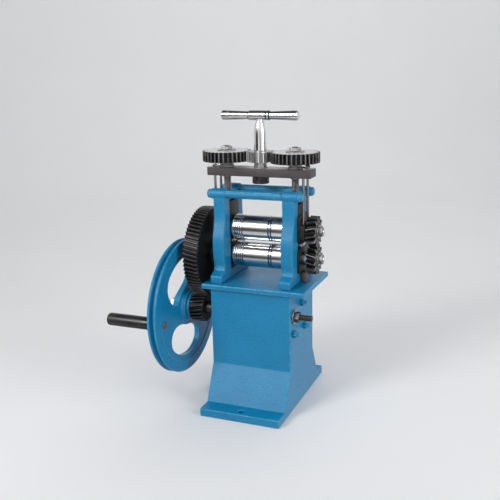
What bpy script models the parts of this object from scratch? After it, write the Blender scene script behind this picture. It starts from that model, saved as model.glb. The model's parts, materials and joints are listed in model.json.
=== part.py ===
"""Jewellers' rolling mill, hand cranked, on a cast stand.

Metres, +Z up. +X runs along the rolls, away from the hand wheel; the work is fed along Y, and the
front, where the crank is, faces -Y. The origin is at the middle of the footprint of the whole
object, on the bench. All sizes are the named values below.
"""
import math

import bmesh
import bpy
from mathutils import Matrix, Vector
from mathutils.geometry import tessellate_polygon

# Clearances, and how close points are to be merged after a cut
GAP = 0.0003
OVERRUN = 0.004
WELD = 0.0001

# Stand casting: body width along X, depth along Y, table on top
STAND_WIDTH = 0.124
STAND_DEPTH = 0.1068
STAND_WALL = 0.0065
TABLE_HEIGHT = 0.1896
TABLE_THICKNESS = 0.0075
TABLE_ROOF = 0.012
TABLE_LEFT = 0.0117
TABLE_RIGHT = 0.0231
TABLE_LIP = 0.007
TABLE_ROUND = 0.0022
KNEE_HEIGHT = 0.0659
SLOPE_RUN = 0.0263
FLANGE_RUN = 0.0254
FLANGE_THICKNESS = 0.0122
BENCH_HOLE = 0.0095
BENCH_HOLE_INSET = 0.0111

# Rolls
ROLL_DIAMETER = 0.0381
ROLL_LENGTH = 0.082
ROLL_OPENING = 0.003
ROLL_RISE = 0.035
COLLAR_DIAMETER = 0.030
NECK_DIAMETER = 0.020
STUB_DIAMETER = 0.013
END_THREAD = 0.0075
ROLL_GROOVE = 0.0006
GROOVE_WIDTH = 0.0016
GROOVE_SHARES = (-0.42, -0.36, 0.21, 0.26)

# Side frames
FRAME_THICKNESS = 0.0185
TIE_RISE = 0.1293
TIE_SPREAD = 0.0534
FOOT_DEPTH = 0.1058
FOOT_HEIGHT = 0.0126
FOOT_ROUND = 0.004
COLUMN_SHARES = (
    (1.171, 0.127), (1.113, 0.189), (1.185, 0.274), (1.208, 0.390),
    (1.185, 0.506), (1.055, 0.622), (0.962, 0.738), (0.962, 0.947),
)
WINDOW_WIDTH = 0.034
WINDOW_SILL = 0.0134
WINDOW_ROUND = 0.003
YOKE_BELOW_TIE = 0.0089
YOKE_ABOVE_TIE = 0.0021
TIE_BOSS = 0.0158
TIE_BOSS_OUT = 0.0042
TIE_ARCH = 0.0150
FRAME_BOLT = 0.006
FRAME_BOLT_IN = 0.0048
FRAME_BOLT_SPREAD = 0.056
FRAME_BOLT_DEPTH = 0.016
FRAME_BOLT_HEAD = 0.010
FRAME_BOLT_HEAD_HEIGHT = 0.004

# Tie bars and their domed nuts
TIE_DIAMETER = 0.0124
TIE_THREAD = 0.0096
TIE_NUT = 0.0134
TIE_NUT_LENGTH = 0.0062
TIE_THREAD_SHARE = 0.45
TIE_DOME_SHARES = ((1.0, 0.0), (1.0, 0.55), (0.86, 0.85), (0.55, 1.0))

# Bearing blocks, spacers and props
CHOCK_FLANGE = 0.0026
CHOCK_FLANGE_WIDTH = 0.043
CHOCK_ROUND = 0.007
LOWER_CHOCK_RISE = 0.0175
UPPER_CHOCK_DROP = 0.0150
LOWER_FLANGE_LIFT = 0.0020
UPPER_FLANGE_RISE = 0.0255
CLOSING_ROOM = 0.0032
LIFTING_ROOM = 0.0045
CHOCK_BOSS = 0.0090
CHOCK_BOSS_WIDTH = 0.0325
CHOCK_BOSS_RISE = 0.0125
CHOCK_BOSS_DROP = 0.0145
SPACER_WIDTH = 0.016
PROP_WIDTH = 0.016
PROP_THICKNESS = 0.008

# Long lift bolts from the bridge plate down to the upper bearing blocks
LIFT_BOLT = 0.0038
LIFT_BOLT_SPREAD = 0.0200
LIFT_BOLT_SEAT = 0.0045
LIFT_BOLT_HEAD = 0.0070
LIFT_BOLT_HEAD_HEIGHT = 0.0045

# Gears: module, teeth, face widths. Tooth heights are shares of the module
GEAR_MODULE = 0.002
ROLL_GEAR_MODULE = 0.0032
ADDENDUM_SHARE = 0.75
DEDENDUM_SHARE = 1.0
LONG_ADDENDUM_SHARE = 1.05
LONG_DEDENDUM_SHARE = 1.2
TOOTH_SHARE = 0.44
PRESSURE_ANGLE = math.radians(20)
DRIVE_TEETH = 67
CRANK_TEETH = 20
SCREW_TEETH = 34
STEM_TEETH = 19
ROLL_TEETH = 12
DRIVE_HELIX = math.radians(10)
ROLL_HELIX = math.radians(12)
DRIVE_GEAR_WIDTH = 0.0227
DRIVE_GEAR_OFF = 0.0042
DRIVE_GEAR_CLEAR = 0.0020
ROLL_GEAR_WIDTH = 0.0135
ROLL_GEAR_OFF = 0.0026
SCREW_GEAR_THICKNESS = 0.0150
SCREW_GEAR_RISE = 0.0086

# Washers and nuts on the ends of the rolls
END_WASHER = 0.020
END_WASHER_THICKNESS = 0.0015
END_NUT = 0.013
END_NUT_HEIGHT = 0.005
END_TIP = 0.0012
DRIVE_SEAT = 0.0160
DRIVE_WASHER = 0.024
DRIVE_WASHER_THICKNESS = 0.0015
DRIVE_NUT = 0.019
DRIVE_NUT_HEIGHT = 0.0060

# Bridge plate on top
BRIDGE_END = 0.01165
BRIDGE_WIDTH = 0.028
BRIDGE_THICKNESS = 0.0121
BRIDGE_RISE = 0.0244
BRIDGE_ROUND = 0.0025

# Screws
SCREW_DIAMETER = 0.011
SCREW_SHOULDER = 0.015
SCREW_SHOULDER_HEIGHT = 0.002
SLEEVE_WALL = 0.0017
SLEEVE_FOOT = 0.0051
SLEEVE_RIM = 0.0028
SLEEVE_FOOT_SHARE = 0.15
SLEEVE_FLARE_SHARE = 0.6
SCREW_TIP_SHARE = 0.8
GEAR_WASHER = 0.0272
GEAR_WASHER_THICKNESS = 0.0012
GEAR_NUT = 0.0160
GEAR_NUT_HEIGHT = 0.0044

# T-handle
STEM_DIAMETER = 0.0158
STEM_UPPER = 0.0186
STEM_NECK = 0.0114
BAR_RISE = 0.0742
BAR_LENGTH = 0.116
BAR_HUB = 0.0142
BAR_HUB_LENGTH = 0.030
BAR_WAIST = 0.0104
BAR_END = 0.0142
BAR_CHAMFER = 0.0012
BAR_WAIST_SHARE = 1.5
STEM_HUB_SHARE = 1.2
STEM_SHARES = ((1.0, 0.0), (0.97, 0.35), (0.91, 0.68), (0.78, 0.88))
STEM_NUT = 0.0245
STEM_NUT_HEIGHT = 0.0105

# Crank shaft, its bearings inside the stand and their bolts
CRANK_FORWARD = 0.036
SHAFT_DIAMETER = 0.013
SHAFT_COLLAR = 0.020
SHAFT_THREAD = 0.009
SHAFT_STUD = 0.0275
SHAFT_WASHER = 0.0224
SHAFT_WASHER_THICKNESS = 0.0016
SHAFT_NUT = 0.0142
SHAFT_NUT_HEIGHT = 0.0070
CAST_BOSS = 0.025
BRACKET_THICKNESS = 0.006
BRACKET_BOSS = 0.020
BRACKET_BOSS_LENGTH = 0.011
BRACKET_LOBE = 0.018
BRACKET_REACH = 0.044
STUD_SHARES = ((-0.084, -0.575), (1.0, -0.627), (0.684, 0.305))
STUD_DIAMETER = 0.006
STUD_NUT = 0.010
STUD_NUT_HEIGHT = 0.0055
STUD_TIP = 0.0046

# Hand wheel and handle
WHEEL_DIAMETER = 0.2054
RIM_WIDTH = 0.0145
RIM_DEPTH = 0.0165
RIM_LIP = 0.0042
RIM_GROOVE = 0.0048
RIM_CHAMFER = 0.0013
WEB_THICKNESS = 0.009
WEB_INSET = 0.0012
HUB_DIAMETER = 0.0436
HUB_FAR = 0.0015
RIM_WEB = 0.0092
WINDOW_INNER = 0.030
WINDOW_ANGLES = ((75, 165), (210, 305), (-22, 45))
WINDOW_SHARES = (
    ((0.02, 0.72), (0.10, 0.94), (0.26, 1.0), (0.48, 1.0), (0.68, 0.99), (0.82, 0.84),
     (0.94, 0.52), (1.0, 0.20), (0.92, 0.04), (0.62, 0.0), (0.28, 0.02), (0.07, 0.17), (0.0, 0.45)),
    ((0.0, 0.58), (0.08, 0.86), (0.22, 0.98), (0.46, 1.0), (0.70, 1.0), (0.89, 0.90),
     (1.0, 0.60), (0.94, 0.26), (0.76, 0.05), (0.48, 0.0), (0.20, 0.05), (0.03, 0.28)),
    ((0.0, 0.50), (0.08, 0.84), (0.26, 0.99), (0.50, 1.0), (0.74, 0.99), (0.92, 0.84),
     (1.0, 0.50), (0.88, 0.14), (0.66, 0.01), (0.34, 0.01), (0.12, 0.14)),
)
WHEEL_OFF = 0.0102
WHEEL_WASHER = 0.026
WHEEL_WASHER_THICKNESS = 0.0018
WHEEL_NUT = 0.019
WHEEL_NUT_HEIGHT = 0.008
WHEEL_TIP = 0.003
HANDLE_INSET = 0.0120
HANDLE_ANGLE = math.radians(186.0)
GRIP_LENGTH = 0.0795
GRIP_DIAMETER = 0.0190
GRIP_NECK = 0.0160
GRIP_ROUND = 0.0040
GRIP_TAPER = 0.0064
GRIP_END_WALL = 0.0060
SPINDLE_DIAMETER = 0.0085
SPINDLE_TIP_SHARE = 0.9
SPINDLE_HEAD = 0.0112
SPINDLE_HEAD_HEIGHT = 0.0014
SPINDLE_HEAD_SHARE = 0.8
SPINDLE_COLLAR = 0.0150
SPINDLE_COLLAR_LENGTH = 0.0050

# How finely round shapes are cut
FINE_SIDES = 24
ROUND_SIDES = 16
SMALL_SIDES = 12
RIM_SIDES = 48
SMOOTH_ANGLE = math.radians(35)

# Places along X, outwards from the middle
SCREW_X = GEAR_MODULE * (SCREW_TEETH + STEM_TEETH) / 2
FRAME_IN = SCREW_X - FRAME_THICKNESS / 2
FRAME_OUT = SCREW_X + FRAME_THICKNESS / 2
FLANGE_IN = FRAME_OUT + GAP
FLANGE_OUT = FLANGE_IN + CHOCK_FLANGE
BOSS_OUT = FLANGE_IN + CHOCK_BOSS
LIFT_BOLT_X = (FLANGE_OUT + BOSS_OUT) / 2
ROLL_GEAR_IN = BOSS_OUT + ROLL_GEAR_OFF
ROLL_GEAR_OUT = ROLL_GEAR_IN + ROLL_GEAR_WIDTH
STAND_SIDE = STAND_WIDTH / 2
DRIVE_IN = max(BOSS_OUT + DRIVE_GEAR_OFF, STAND_SIDE + TABLE_LEFT + DRIVE_GEAR_CLEAR)
DRIVE_OUT = DRIVE_IN + DRIVE_GEAR_WIDTH
WALL_IN = STAND_SIDE - STAND_WALL
BOSS_END = WALL_IN - BRACKET_BOSS_LENGTH

# Heights
LOWER_Z = TABLE_HEIGHT + ROLL_RISE
UPPER_Z = LOWER_Z + ROLL_DIAMETER + ROLL_OPENING
FRAME_FOOT_Z = TABLE_HEIGHT + GAP
SILL_Z = TABLE_HEIGHT + WINDOW_SILL
TIE_Z = TABLE_HEIGHT + TIE_RISE
LINTEL_Z = TIE_Z - YOKE_BELOW_TIE
YOKE_Z = TIE_Z + YOKE_ABOVE_TIE
LOWER_CHOCK_TOP = LOWER_Z + LOWER_CHOCK_RISE
UPPER_CHOCK_LOW = UPPER_Z - UPPER_CHOCK_DROP
UPPER_CHOCK_TOP = LINTEL_Z - LIFTING_ROOM
BRIDGE_LOW = TIE_Z + BRIDGE_RISE
BRIDGE_TOP = BRIDGE_LOW + BRIDGE_THICKNESS
GEAR_LOW = BRIDGE_TOP + SCREW_GEAR_RISE
GEAR_TOP = GEAR_LOW + SCREW_GEAR_THICKNESS
BAR_Z = BRIDGE_TOP + BAR_RISE

# Crank axis: in mesh with the drive gear, forward of the rolls
DRIVE_REACH = GEAR_MODULE * (DRIVE_TEETH + CRANK_TEETH) / 2
CRANK_Y = -CRANK_FORWARD
CRANK_Z = LOWER_Z - math.sqrt(DRIVE_REACH ** 2 - CRANK_FORWARD ** 2)
WHEEL_NEAR = -(DRIVE_OUT + WHEEL_OFF)
WHEEL_FAR = WHEEL_NEAR - RIM_WIDTH
HUB_NEAR = -(DRIVE_OUT + GAP)
HUB_END = WHEEL_FAR - HUB_FAR
RIM_INNER = WHEEL_DIAMETER / 2 - RIM_DEPTH
WINDOW_OUTER = RIM_INNER - RIM_WEB
HANDLE_RADIUS = RIM_INNER - HANDLE_INSET
HANDLE_Y = CRANK_Y + HANDLE_RADIUS * math.cos(HANDLE_ANGLE)
HANDLE_Z = CRANK_Z + HANDLE_RADIUS * math.sin(HANDLE_ANGLE)
WEB_NEAR = WHEEL_NEAR - WEB_INSET
WEB_FAR = WEB_NEAR - WEB_THICKNESS
COLLAR_END = WEB_FAR - GAP - SPINDLE_COLLAR_LENGTH
GRIP_END = COLLAR_END - GAP - GRIP_LENGTH

# Reach of the whole object each way, which puts the origin at the middle of its footprint
LEFT_REACH = GRIP_END
RIGHT_REACH = max(
    STAND_SIDE + TABLE_RIGHT,
    ROLL_GEAR_OUT + 2 * GAP + END_WASHER_THICKNESS + END_NUT_HEIGHT + END_TIP,
    STAND_SIDE + SHAFT_STUD,
)
FLANGE_REACH = STAND_DEPTH / 2 + SLOPE_RUN + FLANGE_RUN
FRONT_REACH = min(-FLANGE_REACH, CRANK_Y - WHEEL_DIAMETER / 2)
BACK_REACH = max(FLANGE_REACH, CRANK_Y + WHEEL_DIAMETER / 2)

# Colours: name, colour, roughness, metallic
COLOURS = {
    "blue_paint": ((0.008, 0.155, 0.380), 0.38, 0.0),
    "black_steel": ((0.014, 0.014, 0.016), 0.45, 0.6),
    "dark_iron": ((0.075, 0.068, 0.070), 0.50, 0.7),
    "bright_steel": ((0.62, 0.62, 0.63), 0.22, 1.0),
    "plain_steel": ((0.40, 0.40, 0.41), 0.35, 1.0),
    "black_grip": ((0.012, 0.012, 0.013), 0.40, 0.0),
}


def clear_scene():
    """Remove what the scene holds before the model is made."""
    for obj in list(bpy.data.objects):
        bpy.data.objects.remove(obj, do_unlink=True)


def material(name):
    """The painted or bare metal of that name, made once."""
    found = bpy.data.materials.get(name)
    if found:
        return found
    colour, roughness, metallic = COLOURS[name]
    made = bpy.data.materials.new(name)
    made.use_nodes = True
    shader = made.node_tree.nodes["Principled BSDF"]
    shader.inputs["Base Color"].default_value = (*colour, 1.0)
    shader.inputs["Roughness"].default_value = roughness
    shader.inputs["Metallic"].default_value = metallic
    return made


def circle(radius, sides, turn=0.0):
    """Points of a circle in the plane, counter-clockwise."""
    step = 2 * math.pi / sides
    return [(radius * math.cos(turn + k * step), radius * math.sin(turn + k * step)) for k in range(sides)]


def hexagon(across, sides=SMALL_SIDES):
    """Points of a hexagon of that width across its flats, with points along the flats too."""
    points = []
    for k in range(sides):
        angle = 2 * math.pi * k / sides
        from_flat = (angle % (math.pi / 3)) - math.pi / 6
        radius = across / 2 / math.cos(from_flat)
        points.append((radius * math.cos(angle), radius * math.sin(angle)))
    return points


def at_height(outline, height):
    """An outline lifted to a height."""
    return [(x, y, height) for x, y in outline]


def loft(rings, bored=False):
    """Skin over rings of equally many points. A bored loft closes from its last ring to its first."""
    count = len(rings[0])
    verts = [point for ring in rings for point in ring]
    spans = len(rings) if bored else len(rings) - 1
    faces = []
    for row in range(spans):
        low, high = row * count, ((row + 1) % len(rings)) * count
        for k in range(count):
            nxt = (k + 1) % count
            faces.append((low + k, low + nxt, high + nxt, high + k))
    if not bored:
        faces.append(tuple(range(count))[::-1])
        faces.append(tuple((len(rings) - 1) * count + k for k in range(count)))
    return verts, faces


def turned(profile, sides=ROUND_SIDES, bored=False):
    """A lathe shape about Z from (radius, height) points, one ring for each."""
    return loft([at_height(circle(radius, sides), height) for radius, height in profile], bored)


def tube(outer, inner, low, high, sides=ROUND_SIDES):
    """A plain ring about Z."""
    return turned([(outer, low), (outer, high), (inner, high), (inner, low)], sides, bored=True)


def prism(outline, holes, low, high, low_turn=0.0, high_turn=0.0):
    """An outline with holes, drawn out along Z, and twisted if the two turns differ."""
    loops = [outline] + list(holes)
    flat = [Vector((x, y, 0)) for loop in loops for x, y in loop]
    triangles = tessellate_polygon([[Vector((x, y, 0)) for x, y in loop] for loop in loops])
    verts = []
    for turn, height in ((low_turn, low), (high_turn, high)):
        spin = Matrix.Rotation(turn, 4, "Z")
        verts += [tuple(spin @ p + Vector((0, 0, height))) for p in flat]
    total = len(flat)
    faces = [tuple(reversed(t)) for t in triangles] + [tuple(total + k for k in t) for t in triangles]
    start = 0
    for loop in loops:
        for k in range(len(loop)):
            a, b = start + k, start + (k + 1) % len(loop)
            faces.append((a, b, total + b, total + a))
        start += len(loop)
    return verts, faces


def box(low, high):
    """A box between two corners."""
    outline = [(low[0], low[1]), (high[0], low[1]), (high[0], high[1]), (low[0], high[1])]
    return prism(outline, [], low[2], high[2])


def moved(shape, offset):
    """A shape shifted by an offset."""
    return [tuple(Vector(p) + Vector(offset)) for p in shape[0]], shape[1]


def along_x(shape, offset=(0, 0, 0)):
    """A shape drawn along Z laid along X: its Z becomes +X and its X becomes +Y, its Y +Z."""
    swap = Matrix(((0, 0, 1, 0), (1, 0, 0, 0), (0, 1, 0, 0), (0, 0, 0, 1)))
    matrix = Matrix.Translation(Vector(offset)) @ swap
    return [tuple(matrix @ Vector(p)) for p in shape[0]], shape[1]


def together(*shapes):
    """Several shapes as one list of points and faces."""
    verts, faces = [], []
    for points, skin in shapes:
        base = len(verts)
        verts += points
        faces += [tuple(base + k for k in face) for face in skin]
    return verts, faces


def make_mesh(name, shape):
    """A mesh of the shape with its faces pointing out."""
    mesh = bpy.data.meshes.new(name)
    mesh.from_pydata(shape[0], [], shape[1])
    work = bmesh.new()
    work.from_mesh(mesh)
    bmesh.ops.recalc_face_normals(work, faces=work.faces)
    work.to_mesh(mesh)
    work.free()
    mesh.shade_smooth()
    mesh.set_sharp_from_angle(angle=SMOOTH_ANGLE)
    return mesh


def piece(name, shape, finish, parent, place=(0, 0, 0)):
    """One named sub-part, carried by its parent."""
    obj = bpy.data.objects.new(name, make_mesh(name, shape))
    bpy.context.scene.collection.objects.link(obj)
    obj.data.materials.append(material(finish))
    obj.parent = parent
    obj.location = place
    return obj


def shaped(obj, shape, operation):
    """Join a shape to a piece or cut it out with a hidden tool, and merge points that all but meet."""
    tool = bpy.data.objects.new(obj.name + "_tool", make_mesh(obj.name + "_tool", shape))
    bpy.context.scene.collection.objects.link(tool)
    tool.parent = obj.parent
    tool.location = obj.location
    tool.hide_render = True
    tool.display_type = "WIRE"
    change = obj.modifiers.new(operation.title(), "BOOLEAN")
    change.operation = operation
    change.solver = "EXACT"
    change.object = tool
    weld = obj.modifiers.new("Weld", "WELD")
    weld.merge_threshold = WELD
    return obj


def cut(obj, *shapes):
    """Cut the shapes out of a piece."""
    return shaped(obj, together(*shapes), "DIFFERENCE")


def joined(obj, *shapes):
    """Join the shapes to a piece."""
    return shaped(obj, together(*shapes), "UNION")


def axis_empty(name, parent, place):
    """An empty on a joint's axis, which carries the pieces that move about it."""
    empty = bpy.data.objects.new(name, None)
    bpy.context.scene.collection.objects.link(empty)
    empty.parent = parent
    empty.location = place
    return empty


def rounded(corners, radius, steps=4):
    """A convex outline with each corner rounded to the radius."""
    points = []
    count = len(corners)
    for k in range(count):
        here = Vector(corners[k])
        before = (Vector(corners[k - 1]) - here).normalized()
        after = (Vector(corners[(k + 1) % count]) - here).normalized()
        half = before.angle(after) / 2
        reach = radius / math.tan(half)
        centre = here + (before + after).normalized() * (radius / math.sin(half))
        start, end = here + before * reach, here + after * reach
        first = math.atan2(start.y - centre.y, start.x - centre.x)
        sweep = math.atan2(end.y - centre.y, end.x - centre.x) - first
        sweep = (sweep + math.pi) % (2 * math.pi) - math.pi
        for step in range(steps + 1):
            angle = first + sweep * step / steps
            points.append((centre.x + radius * math.cos(angle), centre.y + radius * math.sin(angle)))
    return points


def rectangle(x_low, x_high, y_low, y_high):
    """Corners of a rectangle, counter-clockwise."""
    return [(x_low, y_low), (x_high, y_low), (x_high, y_high), (x_low, y_high)]


def hex_nut(across, bore, low, high):
    """A hexagon nut with a plain bore."""
    rings = [at_height(hexagon(across), low), at_height(hexagon(across), high)]
    rings += [at_height(circle(bore, SMALL_SIDES), high), at_height(circle(bore, SMALL_SIDES), low)]
    return loft(rings, bored=True)


def flange_nut(across, flange, bore, low, mid, high):
    """A hexagon nut on a round washer face, with a plain bore."""
    rings = [at_height(circle(flange / 2, SMALL_SIDES), low), at_height(circle(flange / 2, SMALL_SIDES), mid)]
    rings += [at_height(hexagon(across), mid), at_height(hexagon(across), high)]
    rings += [at_height(circle(bore, SMALL_SIDES), high), at_height(circle(bore, SMALL_SIDES), low)]
    return loft(rings, bored=True)


def hex_bolt(across, shank, head_low, head_high, tip):
    """A hexagon head with a shank that runs on to the tip."""
    rings = [at_height(hexagon(across), head_low), at_height(hexagon(across), head_high)]
    rings += [at_height(circle(shank, SMALL_SIDES), head_high), at_height(circle(shank, SMALL_SIDES), tip)]
    return loft(rings)


def tooth_angle(radius, teeth, module):
    """Half the angle that a tooth takes at a radius, on an involute flank."""
    pitch = teeth * module / 2
    base = pitch * math.cos(PRESSURE_ANGLE)
    at_radius = math.acos(min(1.0, base / radius)) if radius > base else 0.0
    spread = math.tan(PRESSURE_ANGLE) - PRESSURE_ANGLE - (math.tan(at_radius) - at_radius)
    return TOOTH_SHARE * math.pi / teeth + spread


def gear_outline(teeth, module, addendum, dedendum):
    """The outline of a spur gear with its first tooth on the +X side."""
    pitch = teeth * module / 2
    radii = [pitch - dedendum * module, pitch + addendum * module]
    flank = [(radius, tooth_angle(radius, teeth, module)) for radius in radii]
    outline = []
    for tooth in range(teeth):
        middle = 2 * math.pi * tooth / teeth
        outline += [(r * math.cos(middle - a), r * math.sin(middle - a)) for r, a in flank]
        outline += [(r * math.cos(middle + a), r * math.sin(middle + a)) for r, a in reversed(flank)]
    return outline


def gear(teeth, module, bore, width, first_turn, helix=0.0, shares=(ADDENDUM_SHARE, DEDENDUM_SHARE)):
    """A bored gear from height 0 to its width, its teeth slanted by the helix angle."""
    twist = width * math.tan(helix) / (teeth * module / 2)
    outline = gear_outline(teeth, module, *shares)
    return prism(outline, [circle(bore, ROUND_SIDES)], 0, width, first_turn, first_turn + twist)


def frame_bolt_places():
    """Where the bolts come up through the table into the side frames."""
    across = SCREW_X - FRAME_BOLT_IN
    along = FRAME_BOLT_SPREAD / 2
    return {
        "left_front": (-across, -along), "left_rear": (-across, along),
        "right_front": (across, -along), "right_rear": (across, along),
    }


def bore_x(radius, low, high, y=0.0, z=0.0, sides=SMALL_SIDES):
    """A round cutter along X."""
    return along_x(prism(circle(radius, sides), [], low, high), (0, y, z))


def bore_z(radius, low, high, x=0.0, y=0.0, sides=SMALL_SIDES):
    """A round cutter along Z."""
    return moved(prism(circle(radius, sides), [], low, high), (x, y, 0))


def stud_places():
    """Where the right bearing's studs stand about the crank axis."""
    return [(BRACKET_REACH * y, BRACKET_REACH * z) for y, z in STUD_SHARES]


def build_stand(root):
    """The hollow cast stand: flanges, slopes, body, table and left shaft bearing in one casting."""
    half = STAND_DEPTH / 2
    foot = half + SLOPE_RUN
    end = foot + FLANGE_RUN
    neck = TABLE_HEIGHT - TABLE_THICKNESS / 2
    side = [(end, 0), (end, FLANGE_THICKNESS), (foot, FLANGE_THICKNESS), (half, KNEE_HEIGHT), (half, neck)]
    outline = side + [(-y, z) for y, z in reversed(side)]
    stand = piece("stand_casting", along_x(prism(outline, [], -STAND_SIDE, STAND_SIDE)), "blue_paint", root)

    lip = half + TABLE_LIP
    edge = rounded(rectangle(-lip, lip, TABLE_HEIGHT - TABLE_THICKNESS, TABLE_HEIGHT), TABLE_ROUND, 2)
    joined(stand, along_x(prism(edge, [], -STAND_SIDE - TABLE_LEFT, STAND_SIDE + TABLE_RIGHT)))

    fall = KNEE_HEIGHT - FLANGE_THICKNESS
    inner_foot = foot - STAND_WALL * math.hypot(SLOPE_RUN, fall) / fall
    inner = half - STAND_WALL
    roof = TABLE_HEIGHT - TABLE_ROOF
    hollow = [(inner_foot, -OVERRUN), (inner_foot, FLANGE_THICKNESS), (inner, KNEE_HEIGHT), (inner, roof)]
    cavity = hollow + [(-y, z) for y, z in reversed(hollow)]
    cut(stand, along_x(prism(cavity, [], -WALL_IN, WALL_IN)))
    boss = along_x(prism(circle(CAST_BOSS / 2, ROUND_SIDES), [], -WALL_IN - STAND_WALL / 2, -BOSS_END))
    joined(stand, moved(boss, (0, CRANK_Y, CRANK_Z)))

    hole_y = end - BENCH_HOLE_INSET
    through = STAND_SIDE + OVERRUN
    low, high = -OVERRUN, FLANGE_THICKNESS + OVERRUN
    holes = [bore_z(BENCH_HOLE / 2, low, high, 0, y, ROUND_SIDES) for y in (-hole_y, hole_y)]
    shaft_hole = SHAFT_DIAMETER / 2 + GAP
    holes.append(bore_x(shaft_hole, -through, through, CRANK_Y, CRANK_Z, ROUND_SIDES))
    for y, z in stud_places():
        holes.append(bore_x(STUD_DIAMETER / 2 + GAP, 0, through, CRANK_Y + y, CRANK_Z + z))
    shank_room, head_room = FRAME_BOLT / 2 + GAP, FRAME_BOLT_HEAD / math.sqrt(3) + GAP
    head_low, head_top = roof - GAP - FRAME_BOLT_HEAD_HEIGHT - OVERRUN, roof - GAP / 2
    room = [(head_room, head_low), (head_room, head_top), (shank_room, head_top)]
    room.append((shank_room, TABLE_HEIGHT + OVERRUN))
    holes += [moved(turned(room, SMALL_SIDES), (x, y, 0)) for x, y in frame_bolt_places().values()]
    cut(stand, *holes)


def frame_half_outline():
    """The side frame's outline in the YZ plane, its +Y half from the foot up to the top."""
    foot, tie, boss, arch = FOOT_DEPTH / 2, TIE_SPREAD / 2, TIE_BOSS / 2, TIE_ARCH / 2
    foot_z = TABLE_HEIGHT + FOOT_HEIGHT
    side = [(foot, FRAME_FOOT_Z)]
    for degrees in (0, 30, 60, 90):
        angle = math.radians(degrees)
        side.append((foot - FOOT_ROUND * (1 - math.cos(angle)), foot_z - FOOT_ROUND * (1 - math.sin(angle))))
    side += [((tie + boss) * depth, TABLE_HEIGHT + TIE_RISE * height) for depth, height in COLUMN_SHARES]
    for degrees in (0, 30, 60, 90, 120):
        angle = math.radians(degrees)
        side.append((tie + arch * math.cos(angle), TIE_Z + arch * math.sin(angle)))
    side.append((tie - boss, YOKE_Z))
    return side


def build_frames(root):
    """The two side frames, each a casting with a window, tie bosses and a hole for its screw."""
    half = frame_half_outline()
    outline = half + [(-y, z) for y, z in reversed(half)]
    window = rounded(rectangle(-WINDOW_WIDTH / 2, WINDOW_WIDTH / 2, SILL_Z, LINTEL_Z), WINDOW_ROUND, 2)
    reach = FRAME_THICKNESS / 2 + TIE_BOSS_OUT
    for side, word, hole in ((-1, "left", TIE_DIAMETER), (1, "right", TIE_THREAD)):
        slab = along_x(prism(outline, [window[::-1]], -FRAME_THICKNESS / 2, FRAME_THICKNESS / 2))
        frame = piece(word + "_side_frame", slab, "blue_paint", root, (side * SCREW_X, 0, 0))
        ends = outward(side, -FRAME_THICKNESS / 2, reach)
        ties = (-TIE_SPREAD / 2, TIE_SPREAD / 2)
        joined(frame, *[bore_x(TIE_BOSS / 2, *ends, y, TIE_Z, ROUND_SIDES) for y in ties])
        through = reach + OVERRUN
        holes = [bore_x(hole / 2 + GAP, -through, through, y, TIE_Z, ROUND_SIDES) for y in ties]
        low, high = LINTEL_Z - OVERRUN, YOKE_Z + OVERRUN
        holes.append(bore_z(SCREW_DIAMETER / 2 + GAP, low, high, sides=ROUND_SIDES))
        low, high = TABLE_HEIGHT - OVERRUN, TABLE_HEIGHT + FRAME_BOLT_DEPTH + GAP
        for x, y in frame_bolt_places().values():
            if x * side > 0:
                holes.append(bore_z(FRAME_BOLT / 2 + GAP, low, high, x - side * SCREW_X, y))
        cut(frame, *holes)


def build_frame_bolts(root):
    """Bolts from under the table into the frames' feet."""
    seat = TABLE_HEIGHT - TABLE_ROOF - GAP
    tip = TABLE_HEIGHT + FRAME_BOLT_DEPTH
    bolt = hex_bolt(FRAME_BOLT_HEAD, FRAME_BOLT / 2, seat - FRAME_BOLT_HEAD_HEIGHT, seat, tip)
    for word, (x, y) in frame_bolt_places().items():
        piece(word + "_frame_bolt", bolt, "plain_steel", root, (x, y, 0))


def build_ties(root):
    """Tie bolts across the frames: a domed head on the left, a shoulder and a domed nut on the right."""
    seat = FRAME_OUT + TIE_BOSS_OUT + GAP
    head, shank, thread = TIE_NUT / 2, TIE_DIAMETER / 2, TIE_THREAD / 2
    thread_end = seat + TIE_NUT_LENGTH * TIE_THREAD_SHARE
    dome = [(head * wide, seat + TIE_NUT_LENGTH * along) for wide, along in TIE_DOME_SHARES]
    profile = [(r, -x) for r, x in reversed(dome)] + [(shank, -seat), (shank, FRAME_IN - GAP)]
    profile += [(thread, FRAME_IN - GAP), (thread, thread_end)]
    bolt = along_x(turned(profile, ROUND_SIDES))
    bore, depth = thread + GAP, thread_end + GAP
    nut = along_x(turned([(bore, depth), (bore, seat)] + dome, ROUND_SIDES))
    for y, word in ((-TIE_SPREAD / 2, "front"), (TIE_SPREAD / 2, "rear")):
        piece(word + "_tie_bolt", bolt, "blue_paint", root, (0, y, TIE_Z))
        piece(word + "_tie_nut", nut, "blue_paint", root, (0, y, TIE_Z))


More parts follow.
